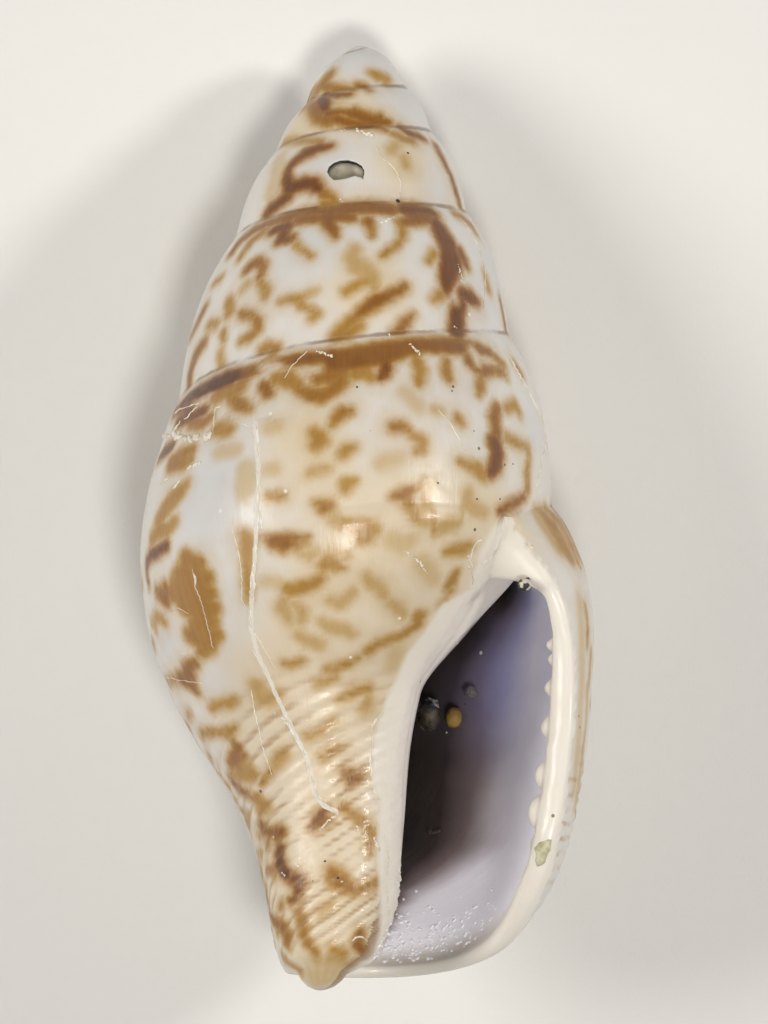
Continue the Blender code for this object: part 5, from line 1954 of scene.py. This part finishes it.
# Raised cracks: half width and path, in picture points.
CRACKS = (
    (1.2, ((213, 433), (214, 418), (216, 408), (222, 406))),
    (1.4, ((236, 420), (243, 424), (250, 427), (256, 424))),
    (1.6, ((172, 434), (176, 428), (181, 421))),
    (1.1, ((174, 414), (180, 409), (190, 406), (199, 403))),
    (0.5, ((185, 420), (191, 413), (197, 407))),
    (1.3, ((160, 483), (165, 480), (169, 478))),
    (1.2, ((173, 489), (177, 484), (180, 480))),
    (1.6, ((257, 426), (258, 445), (258, 465), (257, 500), (258, 520), (256, 540), (254, 560),
           (251, 580), (250, 600), (251, 627))),
    (2.2, ((259, 503), (261, 516), (261, 530))),
    (2.0, ((253, 573), (254, 584), (252, 598))),
    (0.5, ((232, 528), (236, 540), (240, 560), (242, 580), (242, 600), (249, 613))),
    (0.5, ((193, 569), (196, 587), (201, 602), (206, 618), (210, 634), (213, 648))),
    (1.6, ((194, 574), (196, 586))),
    (0.4, ((158, 617), (165, 614), (178, 608), (189, 614))),
    (0.4, ((167, 677), (185, 681), (202, 683))),
    (0.5, ((254, 633), (262, 645), (269, 657), (275, 668))),
    (0.5, ((253, 650), (259, 662), (265, 672), (276, 692))),
    (0.6, ((251, 690), (254, 708), (258, 728), (265, 755), (272, 775))),
    (1.2, ((283, 710), (287, 720), (292, 732), (303, 752), (312, 778), (318, 798), (335, 812))),
    (0.5, ((375, 147), (381, 157), (387, 162), (393, 167), (398, 175), (401, 185), (399, 200))),
    (0.5, ((285, 378), (291, 367), (300, 358), (308, 351))),
    (0.5, ((463, 222), (478, 245), (485, 270), (485, 290), (483, 310))),
    (1.0, ((495, 345), (510, 358), (520, 375), (533, 400), (544, 425), (546, 440), (541, 465),
           (536, 490))),
    (0.5, ((438, 410), (450, 423), (458, 437), (465, 450))),
    (1.7, ((484, 539), (477, 542), (472, 550), (470, 560))),
    (1.0, ((472, 570), (473, 578), (473, 585), (468, 590))),
    (1.1, ((482, 564), (489, 558), (497, 552))),
    (1.5, ((385, 710), (377, 719), (371, 728), (373, 745), (370, 755), (371, 770), (372, 785),
           (380, 800))),
    (1.5, ((352, 941), (357, 937), (363, 937), (367, 942))),
)
# Rows of chalk crumbs: half width and path, in picture points.
CRUMBS = (
    (5.0, ((163, 434), (172, 435), (180, 436), (188, 438), (197, 438), (205, 437), (213, 434))),
    (2.4, ((188, 469), (194, 466), (200, 462))),
    (2.0, ((317, 351), (325, 354), (332, 357))),
    (2.0, ((410, 344), (415, 349), (420, 354))),
    (2.2, ((383, 222), (388, 219), (393, 217))),
    (1.6, ((458, 265), (461, 274), (463, 283))),
    (1.6, ((472, 269), (474, 272))),
    (2.6, ((357, 130), (364, 133), (372, 136))),
    (1.6, ((344, 130), (338, 131))),
    (1.7, ((405, 551), (412, 556), (420, 563), (427, 573))),
    (2.6, ((468, 557), (470, 563), (469, 567))),
    (2.6, ((528, 544), (532, 547))),
    (2.6, ((284, 718), (287, 724), (290, 730))),
    (1.9, ((337, 815), (329, 820), (320, 830))),
    (2.0, ((272, 836), (273, 837))),
    (2.2, ((283, 873), (285, 876))),
    (1.8, ((297, 864), (298, 867))),
    (2.0, ((342, 881), (343, 883))),
    (1.9, ((357, 826), (358, 829))),
    (3.4, ((376, 839), (377, 845), (379, 850))),
    (1.3, ((384, 832), (389, 858), (386, 884), (390, 922))),
    (2.8, ((399, 870), (400, 878), (398, 885))),
    (1.3, ((340, 199), (342, 201))),
    (1.1, ((421, 143), (422, 145))),
    (1.6, ((389, 334), (390, 336))),
    (1.5, ((455, 327), (456, 328))),
    (1.3, ((274, 713), (275, 713))),
    (1.2, ((306, 720), (307, 720))),
    (1.8, ((456, 640), (458, 642))),
    (1.6, ((183, 653), (187, 656))),
)
# Dark specks: half width and places, in picture points.
PITS = (
    (1.2, ((357, 387),)),
    (1.0, ((452, 391),)),
    (1.1, ((438, 483),)),
    (1.2, ((477, 499),)),
    (1.0, ((500, 499), (513, 464))),
    (0.9, ((474, 431),)),
    (2.3, ((398, 201),)),
    (1.3, ((408, 153),)),
    (1.5, ((325, 861),)),
    (1.3, ((338, 878),)),
    (4.0, ((430, 831), (434, 832), (438, 830.5))),
    (1.0, ((465, 704),)),
)
LIP_CHIP = (
    (534, 848), (537, 845), (539, 842), (544, 841), (548, 839), (552, 839.5), (551, 845),
    (550.5, 850), (548, 854), (546, 859), (545, 863), (541, 866), (537, 867), (535, 861),
    (536, 855),
)


class Crusts:
    """Chalky lines and crumbs, frost, silt, a chip and dark specks, each kind one piece."""

    line_rise: float = 0.014     # millimetres that a line's middle stands up
    line_sink: float = 0.010
    line_step: float = 3.0       # picture points
    line_end: float = 0.25       # share of its width that a line keeps at its ends
    line_uneven: tuple = (0.25, 1.15)
    line_stray: float = 0.35
    line_profile: tuple = ((-1.0, -1.0), (-0.5, 0.6), (0.0, 1.0), (0.5, 0.6), (1.0, -1.0))
    crumb_step: float = 1.7
    crumb_stray: float = 0.3
    crumb_size: tuple = (0.35, 0.8)
    crumb_flat: float = 0.75
    crumb_rough: float = 0.28
    chip_rows: tuple = (         # share of the outline and rise, millimetres
        (1.0, -0.03), (0.97, 0.004), (0.8, 0.010), (0.5, 0.004), (0.2, 0.006),
    )
    chip_uneven: float = 0.004
    chip_rim: float = 0.9        # share from which the chip's rows are even
    frost_tries: int = 700
    frost_across: tuple = (374.0, 508.0)
    frost_down: tuple = (890.0, 962.0)
    frost_size: tuple = (0.7, 2.3)
    frost_least: float = 0.03
    frost_flat: float = 0.5
    frost_rough: float = 0.25
    seat_width: float = 0.40     # half width of the dark fill under a grain, as a share of the grain
    seat_sink: float = 0.03
    speck_flat: float = 0.35     # share of its width that a dark speck stands up
    speck_rough: float = 0.12
    lump_squash: tuple = (0.6, 1.0)

    def __init__(self, surface: Surface) -> None:
        """Keep the surface that they stand on."""
        self.surface = surface
        self.random = np.random.default_rng(11)

    def lines(self) -> bpy.types.Object:
        """Raised ridges along the cracks."""
        bm = bmesh.new()
        for width, line in CRACKS:
            path = spread(tuple((*point, width) for point in line), self.line_step)
            rows = []
            for index, (x, y, width) in enumerate(path):
                before, after = path[max(0, index - 1)], path[min(len(path) - 1, index + 1)]
                way = Vector((after[0] - before[0], after[1] - before[1])).normalized()
                end = self.line_end if index in (0, len(path) - 1) else 1.0
                half = width * end * self.random.uniform(*self.line_uneven)
                x += self.random.normal(0, self.line_stray)
                y += self.random.normal(0, self.line_stray)
                row = []
                for side, rise in self.line_profile:
                    hit, normal = self.surface.under(
                        x - side * half * way.y, y + side * half * way.x)
                    high = self.line_rise * rise if rise > 0 else -self.line_sink
                    row.append(bm.verts.new(hit + normal * high * MM))
                low, deep = self.surface.under(x, y)
                row.append(bm.verts.new(low - deep * 2.0 * self.line_sink * MM))
                rows.append(row)
            bridge(bm, rows)
            bm.faces.new(rows[0][::-1])
            bm.faces.new(rows[-1])
        return self.finish(bm, "chalk_lines")

    def crumbs(self) -> bpy.types.Object:
        """Crumbs of chalk, each a rough lump sunk into the skin."""
        bm = bmesh.new()
        for width, row in CRUMBS:
            for x, y, _ in spread(tuple((*point, width) for point in row), self.crumb_step):
                x += self.random.normal(0, self.crumb_stray * width)
                y += self.random.normal(0, self.crumb_stray * width)
                size = width * self.random.uniform(*self.crumb_size)
                self.lump(bm, x, y, size, self.crumb_flat, self.crumb_rough)
        return self.finish(bm, "chalk_crumbs")

    def chip(self) -> bpy.types.Object:
        """Broken spot on the lip's rim, where an inner layer shows."""
        bm = bmesh.new()
        middle = np.mean(LIP_CHIP, axis=0)
        rows = []
        for share, rise in self.chip_rows:
            row = []
            for point in LIP_CHIP:
                place = middle + (np.array(point) - middle) * share
                hit, normal = self.surface.under(*place)
                uneven = 0.0
                if share < self.chip_rim:
                    uneven = self.random.uniform(-self.chip_uneven, self.chip_uneven)
                row.append(bm.verts.new(hit + normal * (rise + uneven) * MM))
            rows.append(row)
        bridge(bm, rows)
        bm.faces.new(rows[-1])
        bm.faces.new(rows[0][::-1])
        return self.finish(bm, "lip_chip")

    def specks(self) -> bpy.types.Object:
        """Dark specks, the dark spot on the mouth's floor and a dark fill under the speckled grain.
        """
        bm = bmesh.new()
        for width, places in PITS:
            for x, y in places:
                self.lump(bm, x, y, width, self.speck_flat, self.speck_rough)
        self.seat(bm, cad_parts["speckled_grain"])
        return self.finish(bm, "dark_specks")

    def frost(self) -> bpy.types.Object:
        """White frosty crumbs on the floor of the canal."""
        bm = bmesh.new()
        mouth = MouthForm()
        for _ in range(self.frost_tries):
            x, y = self.random.uniform(*self.frost_across), self.random.uniform(*self.frost_down)
            width = self.random.uniform(*self.frost_size)
            if (mouth.at(mouth.inner_edge, y) < x < mouth.at(mouth.outer_edge, y)
                    and self.random.random() < ramp(y, *self.frost_down) + self.frost_least):
                self.lump(bm, x, y, width, self.frost_flat, self.frost_rough)
        return self.finish(bm, "canal_frost")

    def grain_seats(self) -> bpy.types.Object:
        """Dark fill between the clear and amber grains and the shell, on the floor of the mouth."""
        bm = bmesh.new()
        for name in ("clear_grain", "small_clear_grain", "amber_grain"):
            self.seat(bm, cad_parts[name])
        return self.finish(bm, "grain_seats")

    def seat(self, bm: bmesh.types.BMesh, grain: bpy.types.Object) -> None:
        """Fill the space between a grain and the shell.

        Args:
            bm: Mesh that takes the fill.
            grain: The grain that it holds.
        """
        corners = [grain.matrix_world @ v.co for v in grain.data.vertices]
        centre = sum(corners, Vector()) / len(corners)
        size = sum((corner - centre).length for corner in corners) / len(corners)
        foot = self.surface.nearest(centre)
        up = centre - foot
        half = up.length / 2.0 + self.seat_sink * MM
        turn = up.to_track_quat('Z', 'Y').to_matrix().to_4x4()
        shape = Matrix.Diagonal((size * self.seat_width, size * self.seat_width, half, 1.0))
        bmesh.ops.create_icosphere(
            bm, subdivisions=3, radius=1.0,
            matrix=Matrix.Translation(foot + up / 2.0) @ turn @ shape)

    def lump(self, bm: bmesh.types.BMesh, x: float, y: float, size: float, flat: float,
             rough: float) -> None:
        """Add one lump on the skin.

        Args:
            bm: Mesh that takes it.
            x: Picture point across.
            y: Picture point down.
            size: Half width in picture points.
            flat: Height as a share of the width.
            rough: How uneven it is.
        """
        hit, normal = self.surface.under(x, y)
        radius = size * self.surface.picture.point * MM
        turn = normal.to_track_quat('Z', 'Y').to_matrix().to_4x4()
        spin = Matrix.Rotation(self.random.uniform(0, 2 * math.pi), 4, 'Z')
        width = radius * self.random.uniform(*self.lump_squash)
        shape = Matrix.Diagonal((radius, width, radius * flat, 1.0))
        made = bmesh.ops.create_icosphere(
            bm, subdivisions=2, radius=1.0, matrix=Matrix.Translation(hit) @ turn @ spin @ shape)
        for vertex in made["verts"]:
            vertex.co += (vertex.co - hit) * self.random.uniform(-rough, rough)

    def finish(self, bm: bmesh.types.BMesh, name: str) -> bpy.types.Object:
        """Turn a mesh into a piece."""
        bmesh.ops.recalc_face_normals(bm, faces=bm.faces)
        for vertex in bm.verts:
            vertex.co.z = max(0.0, vertex.co.z)
        piece = new_object(bm, name)
        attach(piece, "root")
        LOG.info("%s: %d corners", name, len(piece.data.vertices))
        return piece


class Studio:
    """Pale floor and soft lights."""

    floor_side: float = 0.6
    light_colour: Colour = (1.0, 0.96, 0.90)
    lights: tuple = (            # name, place and size in metres, power in watts
        ("key", (0.17, 0.05, 0.13), 0.035, 0.18), ("fill", (-0.15, 0.03, 0.13), 0.09, 0.20),
        ("top", (0.03, -0.05, 0.25), 0.05, 0.25),
    )
    surrounding: tuple = ((1.0, 0.99, 0.97, 1.0), 0.15)     # colour and strength

    def build(self, shared: SharedEffects) -> None:
        """Add the floor, the lights and the surrounding light."""
        bpy.ops.object.select_all(action='DESELECT')
        bpy.ops.mesh.primitive_plane_add(size=self.floor_side, location=(0.0, 0.0, 0.0))
        floor = bpy.context.active_object
        floor.name = "floor"
        floor.data.materials.append(FINISHES["floor"].build(shared))
        for light in self.lights:
            self.add_light(*light)
        world = bpy.data.worlds.new("studio")
        world.use_nodes = True
        background = world.node_tree.nodes["Background"]
        colour, strength = self.surrounding
        background.inputs["Color"].default_value = colour
        background.inputs["Strength"].default_value = strength
        bpy.context.scene.view_settings.view_transform = 'Standard'
        bpy.context.scene.world = world

    def add_light(self, name: str, where: Point, size: float, power: float) -> None:
        """Add a soft light that faces the shell.

        Args:
            name: Name of the light.
            where: Its place, metres.
            size: Its width, metres.
            power: Watts.
        """
        data = bpy.data.lights.new(name, 'AREA')
        data.shape = 'DISK'
        data.size = size
        data.energy = power
        data.color = self.light_colour
        light = bpy.data.objects.new(name, data)
        light.location = where
        light.rotation_mode = 'QUATERNION'
        light.rotation_quaternion = (-Vector(where)).to_track_quat('-Z', 'Y')
        bpy.context.scene.collection.objects.link(light)


def main() -> None:
    """Build the shell, its sand and the studio, and note the sizes."""
    logging.basicConfig(level=logging.INFO, format="%(message)s")
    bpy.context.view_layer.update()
    shared = SharedEffects()
    shell = DoveShell(ShellForm(), Picture())
    LOG.info("skin: %d triangles", sum(len(p.vertices) - 2 for p in shell.piece.data.polygons))
    shell.cut_bore()
    shell.bore_floor().data.materials.append(FINISHES["bore_floor"].build(shared))
    shell.add_teeth()
    shell.smooth_corner()
    shell.wear_flat()
    shell.paint()
    shell.dress(GlazedShell().build(shared))
    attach(shell.piece, "root")
    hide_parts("shell")
    LOG.info("shell dressed")
    crusts = Crusts(shell.surface)
    chalk = FINISHES["chalk"].build(shared)
    for make in (crusts.lines, crusts.crumbs):
        make().data.materials.append(chalk)
    for make in (crusts.frost, crusts.grain_seats, crusts.chip, crusts.specks):
        piece = make()
        piece.data.materials.append(FINISHES[piece.name].build(shared))
    Sand().dress(shared)
    Studio().build(shared)


if __name__ == "__main__":
    main()
